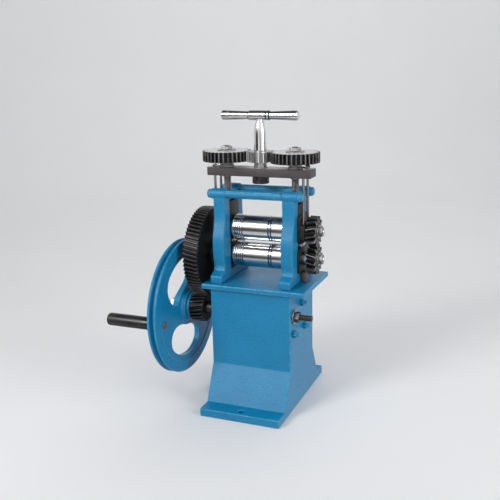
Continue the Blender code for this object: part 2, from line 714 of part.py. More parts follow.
def build_chock(name, parent, side, body_z, flange_z, boss_z, axis_z, place):
    """A bearing block that fills its window, with a flange outside the frame, bored for a roll's neck."""
    width, wing, lug = WINDOW_WIDTH / 2 - GAP, CHOCK_FLANGE_WIDTH / 2, CHOCK_BOSS_WIDTH / 2
    outline = rounded(rectangle(-width, width, *[z - axis_z for z in body_z]), WINDOW_ROUND, 2)
    block = piece(name, along_x(prism(outline, [], *outward(side, FRAME_IN, FLANGE_IN))), "dark_iron",
                  parent, place)
    outline = rounded(rectangle(-wing, wing, *[z - axis_z for z in flange_z]), CHOCK_ROUND, 3)
    joined(block, along_x(prism(outline, [], *outward(side, FRAME_OUT, FLANGE_OUT))))
    if boss_z:
        outline = rounded(rectangle(-lug, lug, *[z - axis_z for z in boss_z]), CHOCK_ROUND, 3)
        joined(block, along_x(prism(outline, [], *outward(side, FLANGE_IN, BOSS_OUT))))
    ends = outward(side, FRAME_IN - OVERRUN, BOSS_OUT + OVERRUN)
    return block, bore_x(NECK_DIAMETER / 2 + GAP, *ends, sides=ROUND_SIDES)


def outward(side, near, far):
    """Two places along X on one side of the mill, in rising order."""
    return sorted((side * near, side * far))


def build_chocks(root, lift):
    """Lower blocks in the frames with spacers and props, upper blocks hung from the bridge plate."""
    low = SILL_Z + GAP
    flange_low = SILL_Z + LOWER_FLANGE_LIFT
    spacer_low = LOWER_CHOCK_TOP + GAP
    spacer_high = UPPER_CHOCK_LOW - CLOSING_ROOM
    boss_z = (UPPER_Z - CHOCK_BOSS_DROP, UPPER_Z + CHOCK_BOSS_RISE)
    flange_top = UPPER_Z + UPPER_FLANGE_RISE
    seat_z = CHOCK_BOSS_RISE - LIFT_BOLT_SEAT
    for side, word in ((-1, "left"), (1, "right")):
        block, bore = build_chock(word + "_lower_chock", root, side, (low, LOWER_CHOCK_TOP),
                                  (flange_low, LOWER_CHOCK_TOP), None, LOWER_Z, (0, 0, LOWER_Z))
        cut(block, bore)
        block, bore = build_chock(word + "_upper_chock", lift, side, (UPPER_CHOCK_LOW, UPPER_CHOCK_TOP),
                                  (UPPER_CHOCK_LOW, flange_top), boss_z, UPPER_Z,
                                  (0, 0, UPPER_Z - BRIDGE_LOW))
        seats = [bore_z(LIFT_BOLT / 2 + GAP, seat_z, CHOCK_BOSS_RISE + OVERRUN, x, y)
                 for x, y in lift_bolt_places().values() if x * side > 0]
        cut(block, bore, *seats)
        x_low, x_high = outward(side, FRAME_IN + GAP, FLANGE_OUT)
        half = SPACER_WIDTH / 2
        shape = box((x_low, -half, spacer_low), (x_high, half, spacer_high))
        piece(word + "_chock_spacer", shape, "bright_steel", root)
        x_low, x_high = outward(side, FLANGE_IN, FLANGE_IN + PROP_THICKNESS)
        half = PROP_WIDTH / 2
        shape = box((x_low, -half, TABLE_HEIGHT + GAP), (x_high, half, flange_low - GAP))
        piece(word + "_chock_prop", shape, "plain_steel", root)


def build_roll(name, parent, left_end):
    """A roll with collars, necks and stepped ends; its face has shallow turned grooves.

    left_end holds the profile of its left end outside the block, as (radius, distance) points.
    """
    body, collar, neck = ROLL_DIAMETER / 2, COLLAR_DIAMETER / 2, NECK_DIAMETER / 2
    half, collar_x = ROLL_LENGTH / 2, FRAME_IN - GAP
    face = [(body, -half)]
    for share in GROOVE_SHARES:
        middle, lip = share * ROLL_LENGTH, GROOVE_WIDTH / 2
        face += [(body, middle - lip), (body - ROLL_GROOVE, middle), (body, middle + lip)]
    face.append((body, half))
    shoulder = [(collar, half), (collar, collar_x), (neck, collar_x)]
    stub, thread = STUB_DIAMETER / 2, END_THREAD / 2
    right_end = ROLL_GEAR_OUT + 2 * GAP + END_WASHER_THICKNESS + END_NUT_HEIGHT + END_TIP
    right = [(neck, ROLL_GEAR_IN - GAP), (stub, ROLL_GEAR_IN - GAP), (stub, ROLL_GEAR_OUT)]
    right += [(thread, ROLL_GEAR_OUT), (thread, right_end)]
    profile = [(r, -x) for r, x in reversed(shoulder + left_end)] + face + shoulder + right
    piece(name, along_x(turned(profile, FINE_SIDES)), "bright_steel", parent)


def build_lower_roll(parent):
    """The lower roll, driven: the big gear on its left, a pinion on its right."""
    seat, thread = DRIVE_SEAT / 2, STUB_DIAMETER / 2
    nut_in = DRIVE_OUT + GAP
    face = nut_in + DRIVE_WASHER_THICKNESS
    nut_out = face + DRIVE_NUT_HEIGHT
    left_end = [(NECK_DIAMETER / 2, DRIVE_IN - GAP), (seat, DRIVE_IN - GAP), (seat, DRIVE_OUT)]
    left_end += [(thread, DRIVE_OUT), (thread, nut_out + END_TIP)]
    build_roll("lower_roll", parent, left_end)
    nut = flange_nut(DRIVE_NUT, DRIVE_WASHER, thread + GAP, -nut_in, -face, -nut_out)
    piece("drive_gear_nut", along_x(nut), "plain_steel", parent)
    wheel = gear(DRIVE_TEETH, GEAR_MODULE, seat + GAP, DRIVE_GEAR_WIDTH, mesh_direction(), DRIVE_HELIX)
    piece("drive_gear", along_x(wheel, (-DRIVE_OUT, 0, 0)), "black_steel", parent)
    build_roll_gear("lower", parent, -math.pi / 2, ROLL_HELIX)


def mesh_direction():
    """Angle in the YZ plane, from +Y towards +Z, from the drive gear to the crank pinion."""
    return math.atan2(CRANK_Z - LOWER_Z, CRANK_Y)


def build_roll_gear(word, parent, first_turn, helix):
    """A roll's end pinion with its washer and nut."""
    long_teeth = (LONG_ADDENDUM_SHARE, LONG_DEDENDUM_SHARE)
    bore = STUB_DIAMETER / 2 + GAP
    wheel = gear(ROLL_TEETH, ROLL_GEAR_MODULE, bore, ROLL_GEAR_WIDTH, first_turn, helix, long_teeth)
    piece(word + "_roll_pinion", along_x(wheel, (ROLL_GEAR_IN, 0, 0)), "black_steel", parent)
    inner = END_THREAD / 2 + GAP
    start = ROLL_GEAR_OUT + GAP
    end = start + END_WASHER_THICKNESS
    piece(word + "_pinion_washer", along_x(tube(END_WASHER / 2, inner, start, end)), "plain_steel", parent)
    nut = hex_nut(END_NUT, inner, end + GAP, end + GAP + END_NUT_HEIGHT)
    piece(word + "_pinion_nut", along_x(nut), "plain_steel", parent)


def build_upper_roll(parent):
    """The upper roll, driven through the pinions on the right, with a plain left end."""
    build_roll("upper_roll", parent, [(NECK_DIAMETER / 2, BOSS_OUT)])
    build_roll_gear("upper", parent, -math.pi / 2 + math.pi / ROLL_TEETH, -ROLL_HELIX)


def lift_bolt_places():
    """Where the long bolts go down from the bridge plate to the upper blocks."""
    along = LIFT_BOLT_SPREAD / 2
    return {
        "left_front": (-LIFT_BOLT_X, -along), "left_rear": (-LIFT_BOLT_X, along),
        "right_front": (LIFT_BOLT_X, -along), "right_rear": (LIFT_BOLT_X, along),
    }


def build_bridge(lift):
    """Bridge plate with its three flared sleeves and the four long lift bolts."""
    half_x, half_y = LIFT_BOLT_X + BRIDGE_END, BRIDGE_WIDTH / 2
    plate = rounded(rectangle(-half_x, half_x, -half_y, half_y), BRIDGE_ROUND, 2)
    sleeves = {
        "left": (-SCREW_X, SCREW_DIAMETER),
        "middle": (0.0, STEM_DIAMETER),
        "right": (SCREW_X, SCREW_DIAMETER),
    }
    bridge = piece("bridge_plate", prism(plate, [], 0, BRIDGE_THICKNESS), "dark_iron", lift)
    low, high = -OVERRUN, BRIDGE_THICKNESS + OVERRUN
    holes = [bore_z(inside / 2 + SLEEVE_WALL + 2 * GAP, low, high, x, sides=ROUND_SIDES)
             for x, inside in sleeves.values()]
    holes += [bore_z(LIFT_BOLT / 2 + GAP, low, high, x, y) for x, y in lift_bolt_places().values()]
    cut(bridge, *holes)

    seat, top = BRIDGE_THICKNESS + GAP, BRIDGE_THICKNESS + SCREW_GEAR_RISE - GAP
    for word, (x, inside) in sleeves.items():
        bore = inside / 2 + GAP
        body, foot, rim = bore + SLEEVE_WALL, bore + SLEEVE_FOOT, bore + SLEEVE_RIM
        rise = top - seat
        profile = [(bore, GAP), (body, GAP), (body, seat), (foot, seat)]
        profile += [(foot, seat + rise * SLEEVE_FOOT_SHARE)]
        profile += [(rim, seat + rise * SLEEVE_FLARE_SHARE), (rim, top), (bore, top)]
        piece(word + "_sleeve", turned(profile, ROUND_SIDES, bored=True), "bright_steel", lift, (x, 0, 0))

    head_top = seat + LIFT_BOLT_HEAD_HEIGHT
    tip = UPPER_Z + CHOCK_BOSS_RISE - LIFT_BOLT_SEAT + GAP - BRIDGE_LOW
    bolt = hex_bolt(LIFT_BOLT_HEAD, LIFT_BOLT / 2, head_top, seat, tip)
    for word, (x, y) in lift_bolt_places().items():
        piece(word + "_lift_bolt", bolt, "bright_steel", lift, (x, y, 0))


def build_screws(lift):
    """Adjusting screws with their gears, washers and nuts, on an axis that the bridge plate carries."""
    radius, shoulder = SCREW_DIAMETER / 2, SCREW_SHOULDER / 2
    low = UPPER_CHOCK_TOP + GAP - BRIDGE_LOW
    gear_low, gear_top = GEAR_LOW - BRIDGE_LOW, GEAR_TOP - BRIDGE_LOW
    washer_top = gear_top + GAP + GEAR_WASHER_THICKNESS
    nut_top = washer_top + GAP + GEAR_NUT_HEIGHT
    tip = radius * SCREW_TIP_SHARE
    chamfer = radius - tip
    profile = [(tip, low), (radius, low + chamfer), (radius, -SCREW_SHOULDER_HEIGHT - GAP)]
    profile += [(shoulder, -SCREW_SHOULDER_HEIGHT - GAP), (shoulder, -GAP), (radius, -GAP)]
    profile += [(radius, nut_top + GAP), (tip, nut_top + GAP + chamfer)]
    for side, word, phase in ((-1, "left", 0.0), (1, "right", math.pi / SCREW_TEETH)):
        axis = axis_empty(word + "_screw_axis", lift, (side * SCREW_X, 0, 0))
        piece(word + "_screw", turned(profile, ROUND_SIDES), "plain_steel", axis)
        wheel = gear(SCREW_TEETH, GEAR_MODULE, radius + GAP, SCREW_GEAR_THICKNESS, phase)
        piece(word + "_screw_gear", wheel, "black_steel", axis, (0, 0, gear_low))
        ring = tube(GEAR_WASHER / 2, radius + GAP, gear_top + GAP, washer_top)
        piece(word + "_gear_washer", ring, "plain_steel", axis)
        nut = hex_nut(GEAR_NUT, radius + GAP, washer_top + GAP, nut_top)
        piece(word + "_gear_nut", nut, "plain_steel", axis)


def build_t_handle(lift):
    """T-handle: its stem goes down through the bridge plate, with a pinion above and a round nut below."""
    axis = axis_empty("t_handle_axis", lift, (0, 0, 0))
    lower, upper, neck, hub = STEM_DIAMETER / 2, STEM_UPPER / 2, STEM_NECK / 2, BAR_HUB / 2
    gear_low, gear_top, bar = GEAR_LOW - BRIDGE_LOW, GEAR_TOP - BRIDGE_LOW, BAR_Z - BRIDGE_LOW
    nut_low = -GAP - STEM_NUT_HEIGHT
    shoulder = gear_top + GAP
    neck_z = bar - hub * STEM_HUB_SHARE
    rise = neck_z - shoulder
    profile = [(lower, nut_low - GAP), (lower, shoulder)]
    profile += [(upper * wide, shoulder + rise * up) for wide, up in STEM_SHARES]
    profile += [(neck, neck_z), (neck, bar)]
    handle = piece("t_handle", turned(profile, ROUND_SIDES), "bright_steel", axis)
    half, waist, end, tip = BAR_HUB_LENGTH / 2, BAR_WAIST / 2, BAR_END / 2, BAR_LENGTH / 2
    side = [(hub, half), (waist, half), (waist, half * BAR_WAIST_SHARE)]
    side += [(end, tip - BAR_CHAMFER), (end - BAR_CHAMFER, tip)]
    bar_profile = [(r, -x) for r, x in reversed(side)] + side
    joined(handle, along_x(turned(bar_profile, ROUND_SIDES), (0, 0, bar)))
    pinion = gear(STEM_TEETH, GEAR_MODULE, lower + GAP, SCREW_GEAR_THICKNESS, 0.0)
    piece("t_handle_pinion", pinion, "bright_steel", axis, (0, 0, gear_low))
    nut = tube(STEM_NUT / 2, lower + GAP, nut_low, -GAP)
    piece("t_handle_nut", nut, "black_steel", axis)


def bracket_outline():
    """Outline of the right shaft bearing about the crank axis: a hull of its boss and stud lobes."""
    points = circle(BRACKET_BOSS / 2, ROUND_SIDES)
    for y, z in stud_places():
        points += [(py + y, pz + z) for py, pz in circle(BRACKET_LOBE / 2, ROUND_SIDES)]
    limit = STAND_DEPTH / 2 - STAND_WALL - GAP - CRANK_FORWARD
    return convex_hull([(max(y, -limit), z) for y, z in points])


def convex_hull(points):
    """The convex outline round a set of points, counter-clockwise."""
    ordered = sorted(set(points))

    def half_hull(run):
        hull = []
        for p in run:
            while len(hull) > 1 and cross(hull[-2], hull[-1], p) <= 0:
                hull.pop()
            hull.append(p)
        return hull[:-1]

    return half_hull(ordered) + half_hull(ordered[::-1])


def cross(a, b, c):
    """Twice the signed area of a triangle."""
    return (b[0] - a[0]) * (c[1] - a[1]) - (b[1] - a[1]) * (c[0] - a[0])


def build_shaft_bearing(root):
    """Right shaft bearing: a bracket inside the stand whose studs come out through the wall to nuts."""
    outer, inner = WALL_IN - GAP, WALL_IN - GAP - BRACKET_THICKNESS
    boss_in = WALL_IN - GAP - BRACKET_BOSS_LENGTH
    nut_in = STAND_SIDE + GAP
    nut_out = nut_in + STUD_NUT_HEIGHT
    plate = along_x(prism(bracket_outline(), [], inner, outer))
    bracket = piece("right_shaft_bearing", plate, "dark_iron", root, (0, CRANK_Y, CRANK_Z))
    middle = (inner + outer) / 2
    joined(bracket, bore_x(BRACKET_BOSS / 2, boss_in, middle, sides=ROUND_SIDES))
    joined(bracket, *[bore_x(STUD_DIAMETER / 2, middle, nut_out + STUD_TIP, y, z) for y, z in stud_places()])
    cut(bracket, bore_x(SHAFT_DIAMETER / 2 + GAP, boss_in - OVERRUN, WALL_IN + OVERRUN, sides=ROUND_SIDES))
    nut = along_x(hex_nut(STUD_NUT, STUD_DIAMETER / 2 + GAP, nut_in, nut_out))
    for word, (y, z) in zip(("front", "rear", "upper"), stud_places()):
        piece(word + "_stud_nut", nut, "blue_paint", root, (0, CRANK_Y + y, CRANK_Z + z))


def build_crank(crank):
    """Crank shaft with its pinion, the washer and nut on the right, and the nut that holds the wheel."""
    shaft, thread, collar = SHAFT_DIAMETER / 2, SHAFT_THREAD / 2, SHAFT_COLLAR / 2
    hub_side = -HUB_END
    nut_in = hub_side + GAP
    face = nut_in + WHEEL_WASHER_THICKNESS
    nut_out = face + WHEEL_NUT_HEIGHT
    left = [(collar, STAND_SIDE + GAP), (collar, DRIVE_IN - GAP), (shaft, DRIVE_IN - GAP), (shaft, hub_side)]
    left += [(thread, hub_side), (thread, nut_out + WHEEL_TIP)]
    profile = [(r, -x) for r, x in reversed(left)] + [(shaft, -STAND_SIDE - GAP), (shaft, STAND_SIDE)]
    profile += [(thread, STAND_SIDE), (thread, STAND_SIDE + SHAFT_STUD)]
    piece("crank_shaft", along_x(turned(profile, ROUND_SIDES)), "plain_steel", crank)

    wheel_turn = mesh_direction() + math.pi + math.pi / CRANK_TEETH
    pinion = gear(CRANK_TEETH, GEAR_MODULE, shaft + GAP, DRIVE_GEAR_WIDTH, wheel_turn, -DRIVE_HELIX)
    piece("crank_pinion", along_x(pinion, (-DRIVE_OUT, 0, 0)), "black_steel", crank)

    washer_end = STAND_SIDE + GAP + SHAFT_WASHER_THICKNESS
    ring = tube(SHAFT_WASHER / 2, thread + GAP, STAND_SIDE + GAP, washer_end)
    piece("shaft_washer", along_x(ring), "plain_steel", crank)
    nut = hex_nut(SHAFT_NUT, thread + GAP, washer_end + GAP, washer_end + GAP + SHAFT_NUT_HEIGHT)
    piece("shaft_nut", along_x(nut), "black_steel", crank)
    nut = flange_nut(WHEEL_NUT, WHEEL_WASHER, thread + GAP, -nut_in, -face, -nut_out)
    piece("wheel_nut", along_x(nut), "plain_steel", crank)


def smooth_loop(points, steps=2):
    """A closed curve through the points, with a few points added between each two."""
    curve = []
    count = len(points)
    for k in range(count):
        a, b, c, d = (Vector(points[(k + shift) % count]) for shift in (-1, 0, 1, 2))
        for step in range(steps):
            t = step / steps
            point = b + (c - a) * (t / 2) + (2 * a - 5 * b + 4 * c - d) * (t * t / 2)
            point += (3 * b - 3 * c + d - a) * (t ** 3 / 2)
            curve.append((point.x, point.y))
    return curve


def wheel_window(angles, shares):
    """A window of the hand wheel, from shares of its angle and of its radial width."""
    first, last = (math.radians(angle) for angle in angles)
    points = []
    for along, outward_share in shares:
        angle = first + (last - first) * along
        radius = WINDOW_INNER + (WINDOW_OUTER - WINDOW_INNER) * outward_share
        points.append((radius * math.cos(angle), radius * math.sin(angle)))
    return smooth_loop(points)


def build_hand_wheel(crank):
    """The cast hand wheel: grooved rim, web with curved windows, hub."""
    outer, inner, near, far = WHEEL_DIAMETER / 2, RIM_INNER, WHEEL_NEAR, WHEEL_FAR
    lip, groove, chamfer = RIM_LIP, RIM_GROOVE, RIM_CHAMFER
    profile = [(inner, far), (outer - chamfer, far), (outer, far + chamfer), (outer, far + lip - chamfer)]
    profile += [(outer - groove, (near + far) / 2), (outer, near - lip + chamfer), (outer, near - chamfer)]
    profile += [(outer - chamfer, near), (inner, near)]
    wheel = piece("hand_wheel", along_x(turned(profile, RIM_SIDES, bored=True)), "blue_paint", crank)
    windows = [wheel_window(*window) for window in zip(WINDOW_ANGLES, WINDOW_SHARES)]
    web = prism(circle(inner + RIM_LIP / 2, RIM_SIDES), windows, WEB_FAR, WEB_NEAR)
    joined(wheel, along_x(web))
    joined(wheel, bore_x(HUB_DIAMETER / 2, HUB_END, HUB_NEAR, sides=FINE_SIDES))
    low, high = HUB_END - OVERRUN, HUB_NEAR + OVERRUN
    spindle = bore_x(SPINDLE_DIAMETER / 2 + GAP, low, high, HANDLE_Y - CRANK_Y, HANDLE_Z - CRANK_Z)
    cut(wheel, spindle, bore_x(SHAFT_DIAMETER / 2 + GAP, low, high, sides=ROUND_SIDES))


def build_handle(crank, grip_axis):
    """The spindle riveted in the wheel, and the grip that turns on it."""
    spindle, head, collar = SPINDLE_DIAMETER / 2, SPINDLE_HEAD / 2, SPINDLE_COLLAR / 2
    bore_end = GRIP_END + GRIP_END_WALL
    tip = spindle * SPINDLE_TIP_SHARE
    profile = [(tip, bore_end + GAP), (spindle, bore_end + GAP + spindle - tip), (spindle, COLLAR_END)]
    profile += [(collar, COLLAR_END), (collar, WEB_FAR - GAP), (spindle, WEB_FAR - GAP)]
    profile += [(spindle, WEB_NEAR + GAP), (head, WEB_NEAR + GAP)]
    profile.append((head * SPINDLE_HEAD_SHARE, WEB_NEAR + GAP + SPINDLE_HEAD_HEIGHT))
    place = (0, HANDLE_Y - CRANK_Y, HANDLE_Z - CRANK_Z)
    piece("handle_spindle", along_x(turned(profile, SMALL_SIDES)), "plain_steel", crank, place)
    grip, neck, start = GRIP_DIAMETER / 2, GRIP_NECK / 2, COLLAR_END - GAP
    shell = [(spindle + GAP, bore_end), (spindle + GAP, start), (neck, start), (grip, start - GRIP_TAPER)]
    shell.append((grip, GRIP_END + GRIP_ROUND))
    for degrees in (30, 60):
        angle = math.radians(degrees)
        inset, rise = GRIP_ROUND * (1 - math.cos(angle)), GRIP_ROUND * (1 - math.sin(angle))
        shell.append((grip - inset, GRIP_END + rise))
    shell.append((grip - GRIP_ROUND, GRIP_END))
    piece("handle_grip", along_x(turned(shell, ROUND_SIDES)), "black_grip", grip_axis)


def main():
    """Build the mill about the origin at the middle of its footprint."""
    clear_scene()
    middle = (-(LEFT_REACH + RIGHT_REACH) / 2, -(FRONT_REACH + BACK_REACH) / 2, 0)
    root = axis_empty("mill", None, middle)
    lift = axis_empty("lift_assembly", root, (0, 0, BRIDGE_LOW))
    lower = axis_empty("lower_roll_axis", root, (0, 0, LOWER_Z))
    upper = axis_empty("upper_roll_axis", lift, (0, 0, UPPER_Z - BRIDGE_LOW))
    crank = axis_empty("crank_axis", root, (0, CRANK_Y, CRANK_Z))
    grip = axis_empty("grip_axis", crank, (0, HANDLE_Y - CRANK_Y, HANDLE_Z - CRANK_Z))
    build_stand(root)
    build_frames(root)
    build_frame_bolts(root)
    build_ties(root)
    build_chocks(root, lift)
    build_lower_roll(lower)
    build_upper_roll(upper)
    build_bridge(lift)
    build_screws(lift)
    build_t_handle(lift)
    build_shaft_bearing(root)
    build_crank(crank)
    build_hand_wheel(crank)
    build_handle(crank, grip)


main()
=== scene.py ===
"""The looks of the jewellers' rolling mill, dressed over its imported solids.

Metres, +Z up. Shapes are made in the mill's own place, whose X and Y start between the two frames,
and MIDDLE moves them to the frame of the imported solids.
"""
import json
import math

import bmesh
import bpy
from mathutils import Matrix, Vector
from mathutils.geometry import tessellate_polygon


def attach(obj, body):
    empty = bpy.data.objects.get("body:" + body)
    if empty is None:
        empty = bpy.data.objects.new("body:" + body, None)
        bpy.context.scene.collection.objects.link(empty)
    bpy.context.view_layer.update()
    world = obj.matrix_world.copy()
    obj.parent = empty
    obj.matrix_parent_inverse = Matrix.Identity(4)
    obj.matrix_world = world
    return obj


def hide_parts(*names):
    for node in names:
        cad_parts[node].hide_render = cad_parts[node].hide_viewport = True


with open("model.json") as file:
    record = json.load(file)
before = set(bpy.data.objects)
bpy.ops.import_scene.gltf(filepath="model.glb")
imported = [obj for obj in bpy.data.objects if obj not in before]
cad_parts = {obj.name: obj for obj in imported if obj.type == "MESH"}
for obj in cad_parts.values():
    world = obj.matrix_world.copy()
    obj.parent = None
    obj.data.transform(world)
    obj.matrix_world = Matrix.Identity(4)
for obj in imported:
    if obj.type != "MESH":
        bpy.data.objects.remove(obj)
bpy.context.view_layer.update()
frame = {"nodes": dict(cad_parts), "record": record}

MIDDLE = Vector((0.0540, 0.0168, 0.0))
GAP = 0.0003
OVERRUN = 0.004
EDGE = 0.0005
SOFT_EDGE = 0.0006
BROAD_EDGE = 0.001

# Camera, fitted to the photograph: place, turns in degrees, focal length and centre in pixels
CAMERA_PLACE = (0.43960, -0.95510, 0.49713)
CAMERA_TURNS = (21.763, 15.094, -1.120)
PICTURE = 500
FOCAL = 722.23
CENTRE = (260.88, 260.84)
SENSOR = 36.0

# Stand casting
STAND_SIDE = 0.062
STAND_HALF = 0.0534
STAND_WALL = 0.0065
TABLE_HEIGHT = 0.1896
TABLE_THICKNESS = 0.0075
TABLE_ROOF = 0.012
TABLE_LEFT = 0.0117
TABLE_RIGHT = 0.0231
TABLE_LIP = 0.007
KNEE_HEIGHT = 0.0659
SLOPE_RUN = 0.0263
FLANGE_RUN = 0.0254
FLANGE_THICKNESS = 0.0122
BENCH_HOLE_RADIUS = 0.00495
BENCH_HOLE_INSET = 0.0111
SHAFT_BOSS_RADIUS = 0.0125
SHAFT_BOSS_LENGTH = 0.011
SHAFT_BOSS_SINK = 0.003

# Axes and heights
SCREW_X = 0.053
LOWER_Z = 0.2246
UPPER_Z = 0.2657
SILL_Z = 0.203
LINTEL_Z = 0.310
YOKE_Z = 0.321
TIE_Z = 0.3189
BRIDGE_LOW = 0.3433
CRANK_Y = -0.036
CRANK_Z = 0.145398
HANDLE_Y = -0.109794
HANDLE_Z = 0.137642
BAR_Z = 0.4296

# Side frames and tie bars
FRAME_THICKNESS = 0.0185
FRAME_ROUND = 0.0020
FOOT_DEPTH = 0.1058
FOOT_HEIGHT = 0.0126
FOOT_ROUND = 0.004
TIE_RISE = 0.1293
TIE_SPREAD = 0.0534
TIE_BOSS = 0.0158
TIE_BOSS_OUT = 0.0042
TIE_BOSS_SOFT = 0.0012
TIE_ARCH = 0.0150
TIE_SEAT = SCREW_X + FRAME_THICKNESS / 2 + TIE_BOSS_OUT + GAP
TIE_HEAD = 0.0067
TIE_HEAD_LENGTH = 0.0062
TIE_SHANK = 0.0062
TIE_END = 0.0048
FRAME_NEAR = SCREW_X - FRAME_THICKNESS / 2 - GAP
WINDOW_WIDTH = 0.034
WINDOW_ROUND = 0.003
COLUMN_SHARES = (
    (1.171, 0.127), (1.113, 0.189), (1.185, 0.274), (1.208, 0.390),
    (1.185, 0.506), (1.055, 0.622), (0.962, 0.738), (0.962, 0.912),
)

# Radii of the rolls, shafts, screws and bolts
ROLL_RADIUS = 0.01905
COLLAR_RADIUS = 0.015
NECK_RADIUS = 0.010
DRIVE_SEAT = 0.0080
SHAFT_RADIUS = 0.0065
SHAFT_BORE = SHAFT_RADIUS + GAP
SHAFT_THREAD = 0.0045
ROLL_THREAD = 0.00375
SCREW_RADIUS = 0.0055
STEM_RADIUS = 0.0079
LIFT_BOLT_RADIUS = 0.0019
STUD_BORE = 0.0033

# Places along the rolls and the crank shaft
ROLL_HALF = 0.041
ROLL_GEAR_NEAR = 0.07415
ROLL_GEAR_FAR = 0.08765
ROLL_TIP = 0.0955
LOWER_TIP = 0.10745
UPPER_TIP = 0.0710
UPPER_TIP_EDGE = 0.00055
TIP_EDGE = 0.00045
DRIVE_NEAR = 0.07575
DRIVE_FAR = 0.09845
SHAFT_PITCH = 0.00125
SHAFT_THREAD_ENDS = ((0.0615, 0.0895), (-0.1375, -0.1240))

# Wire grooves of the rolls: places as shares of the roll's length, half width and depth
WIRE_SHARES = (-0.455, -0.42, -0.385, -0.345, -0.30, 0.205, 0.25)
WIRE_LIP = 0.0011
WIRE_DEPTH = 0.0010

# Washer radius and thickness, then nut width and height
ROLL_NUT = (0.010, 0.0015, 0.013, 0.005)
SHAFT_NUT = (0.0112, 0.0016, 0.0142, 0.007)
SCREW_NUT = (0.0136, 0.0012, 0.016, 0.0044)
DRIVE_NUT = (0.012, 0.0015, 0.019, 0.006)
WHEEL_NUT = (0.013, 0.0018, 0.019, 0.008)

# Studs of the right shaft bearing: places about the crank axis as shares of their reach
STUD_REACH = 0.044
STUD_SHARES = {"front": (-0.084, -0.575), "rear": (1.0, -0.627), "upper": (0.684, 0.305)}
STUD_NUT_WIDTH = 0.010
STUD_NUT_HEIGHT = 0.0055

# Hand wheel and grip. The hub's collar is given as depths under the hub's radius and near face
WHEEL_RADIUS = 0.1027
WHEEL_NEAR = -0.10865
WHEEL_FAR = -0.12315
WEB_NEAR = -0.10985
WEB_FAR = -0.11885
WEB_LAP = 0.002
HUB_NEAR = -0.09875
HUB_END = -0.12465
HUB_RADIUS = 0.0218
HUB_FLARE = 0.0050
HUB_COLLAR = (
    (0.0005, 0.0056), (0.0036, 0.0050), (0.0036, 0.0036), (0.0008, 0.0030), (0.0004, 0.0012), (0.0016, 0.0),
)
RIM_DEPTH = 0.0165
RIM_GROOVE = 0.0072
RIM_LIP = 0.0042
WINDOW_OUTER = 0.077
WINDOW_INNER = 0.030
WINDOW_ANGLES = ((75, 165), (210, 305), (-22, 45))
WINDOW_SHARES = (
    ((0.02, 0.72), (0.10, 0.94), (0.26, 1.0), (0.48, 1.0), (0.68, 0.99), (0.82, 0.84),
     (0.94, 0.52), (1.0, 0.20), (0.92, 0.04), (0.62, 0.0), (0.28, 0.02), (0.07, 0.17), (0.0, 0.45)),
    ((0.0, 0.58), (0.08, 0.86), (0.22, 0.98), (0.46, 1.0), (0.70, 1.0), (0.89, 0.90),
     (1.0, 0.60), (0.94, 0.26), (0.76, 0.05), (0.48, 0.0), (0.20, 0.05), (0.03, 0.28)),
    ((0.0, 0.50), (0.08, 0.84), (0.26, 0.99), (0.50, 1.0), (0.74, 0.99), (0.92, 0.84),
     (1.0, 0.50), (0.88, 0.14), (0.66, 0.01), (0.34, 0.01), (0.12, 0.14)),
)
SPINDLE_RADIUS = 0.00425
SPINDLE_COLLAR = 0.0075
SPINDLE_STEP = 0.001
SPINDLE_TIP = -0.1971
SPINDLE_RIVET = (0.0056, 0.0014)
GRIP_RADIUS = 0.0095
GRIP_END = -0.20395
GRIP_ROUND = 0.0040
GRIP_BOTTOM = 0.006
GRIP_SHOULDER = ((0.0072, 0.0), (0.0080, 0.0008), (0.0089, 0.0035), (0.0095, 0.0075))

# Bridge plate and what stands on it, with heights over the plate's underside
BRIDGE_HALF = (0.080, 0.014)
BRIDGE_ROUND = 0.0025
BRIDGE_THICKNESS = 0.0121
BRIDGE_SEAT = BRIDGE_THICKNESS + GAP
BRIDGE_CUT_TOP = 0.020
SLEEVE_WALL = 0.0017
SLEEVE_FOOT = 0.0051
SLEEVE_LIP = 0.0010
SLEEVE_DRAW = 0.0023
SLEEVE_STRAIGHT = 0.0012
LIFT_BOLT_X = 0.06835
LIFT_BOLT_Y = 0.010
LIFT_BOLT_SINK = 0.0083
LIFT_HEAD = 0.0070
LIFT_HEAD_HEIGHT = 0.0030
LIFT_DOME = (0.0034, 0.0015)
SCREW_LOW = 0.3058
SCREW_PITCH = 0.00175
SCREW_SHOULDER = 0.0075
SCREW_SHOULDER_HEIGHT = 0.0020
SCREW_TOP = 0.0415
TOP_GEAR_LOW = 0.0207
TOP_GEAR_WIDTH = 0.015
TOP_GEAR_HIGH = TOP_GEAR_LOW + TOP_GEAR_WIDTH
ROUND_NUT_RADIUS = 0.01225
ROUND_NUT_LOW = -0.0108

# T-handle: the stem's taper as radius and share of its rise, and the cross bar
STEM_SHOULDER = 0.0093
STEM_TAPER = ((0.0090, 0.35), (0.0085, 0.68), (0.0072, 0.88), (0.0057, 1.0))
BAR_SADDLE = 0.0085
BAR_MIDDLE = 0.015
BAR_HALF = 0.058
BAR_RADIUS = 0.0071
BAR_WAIST = 0.0058

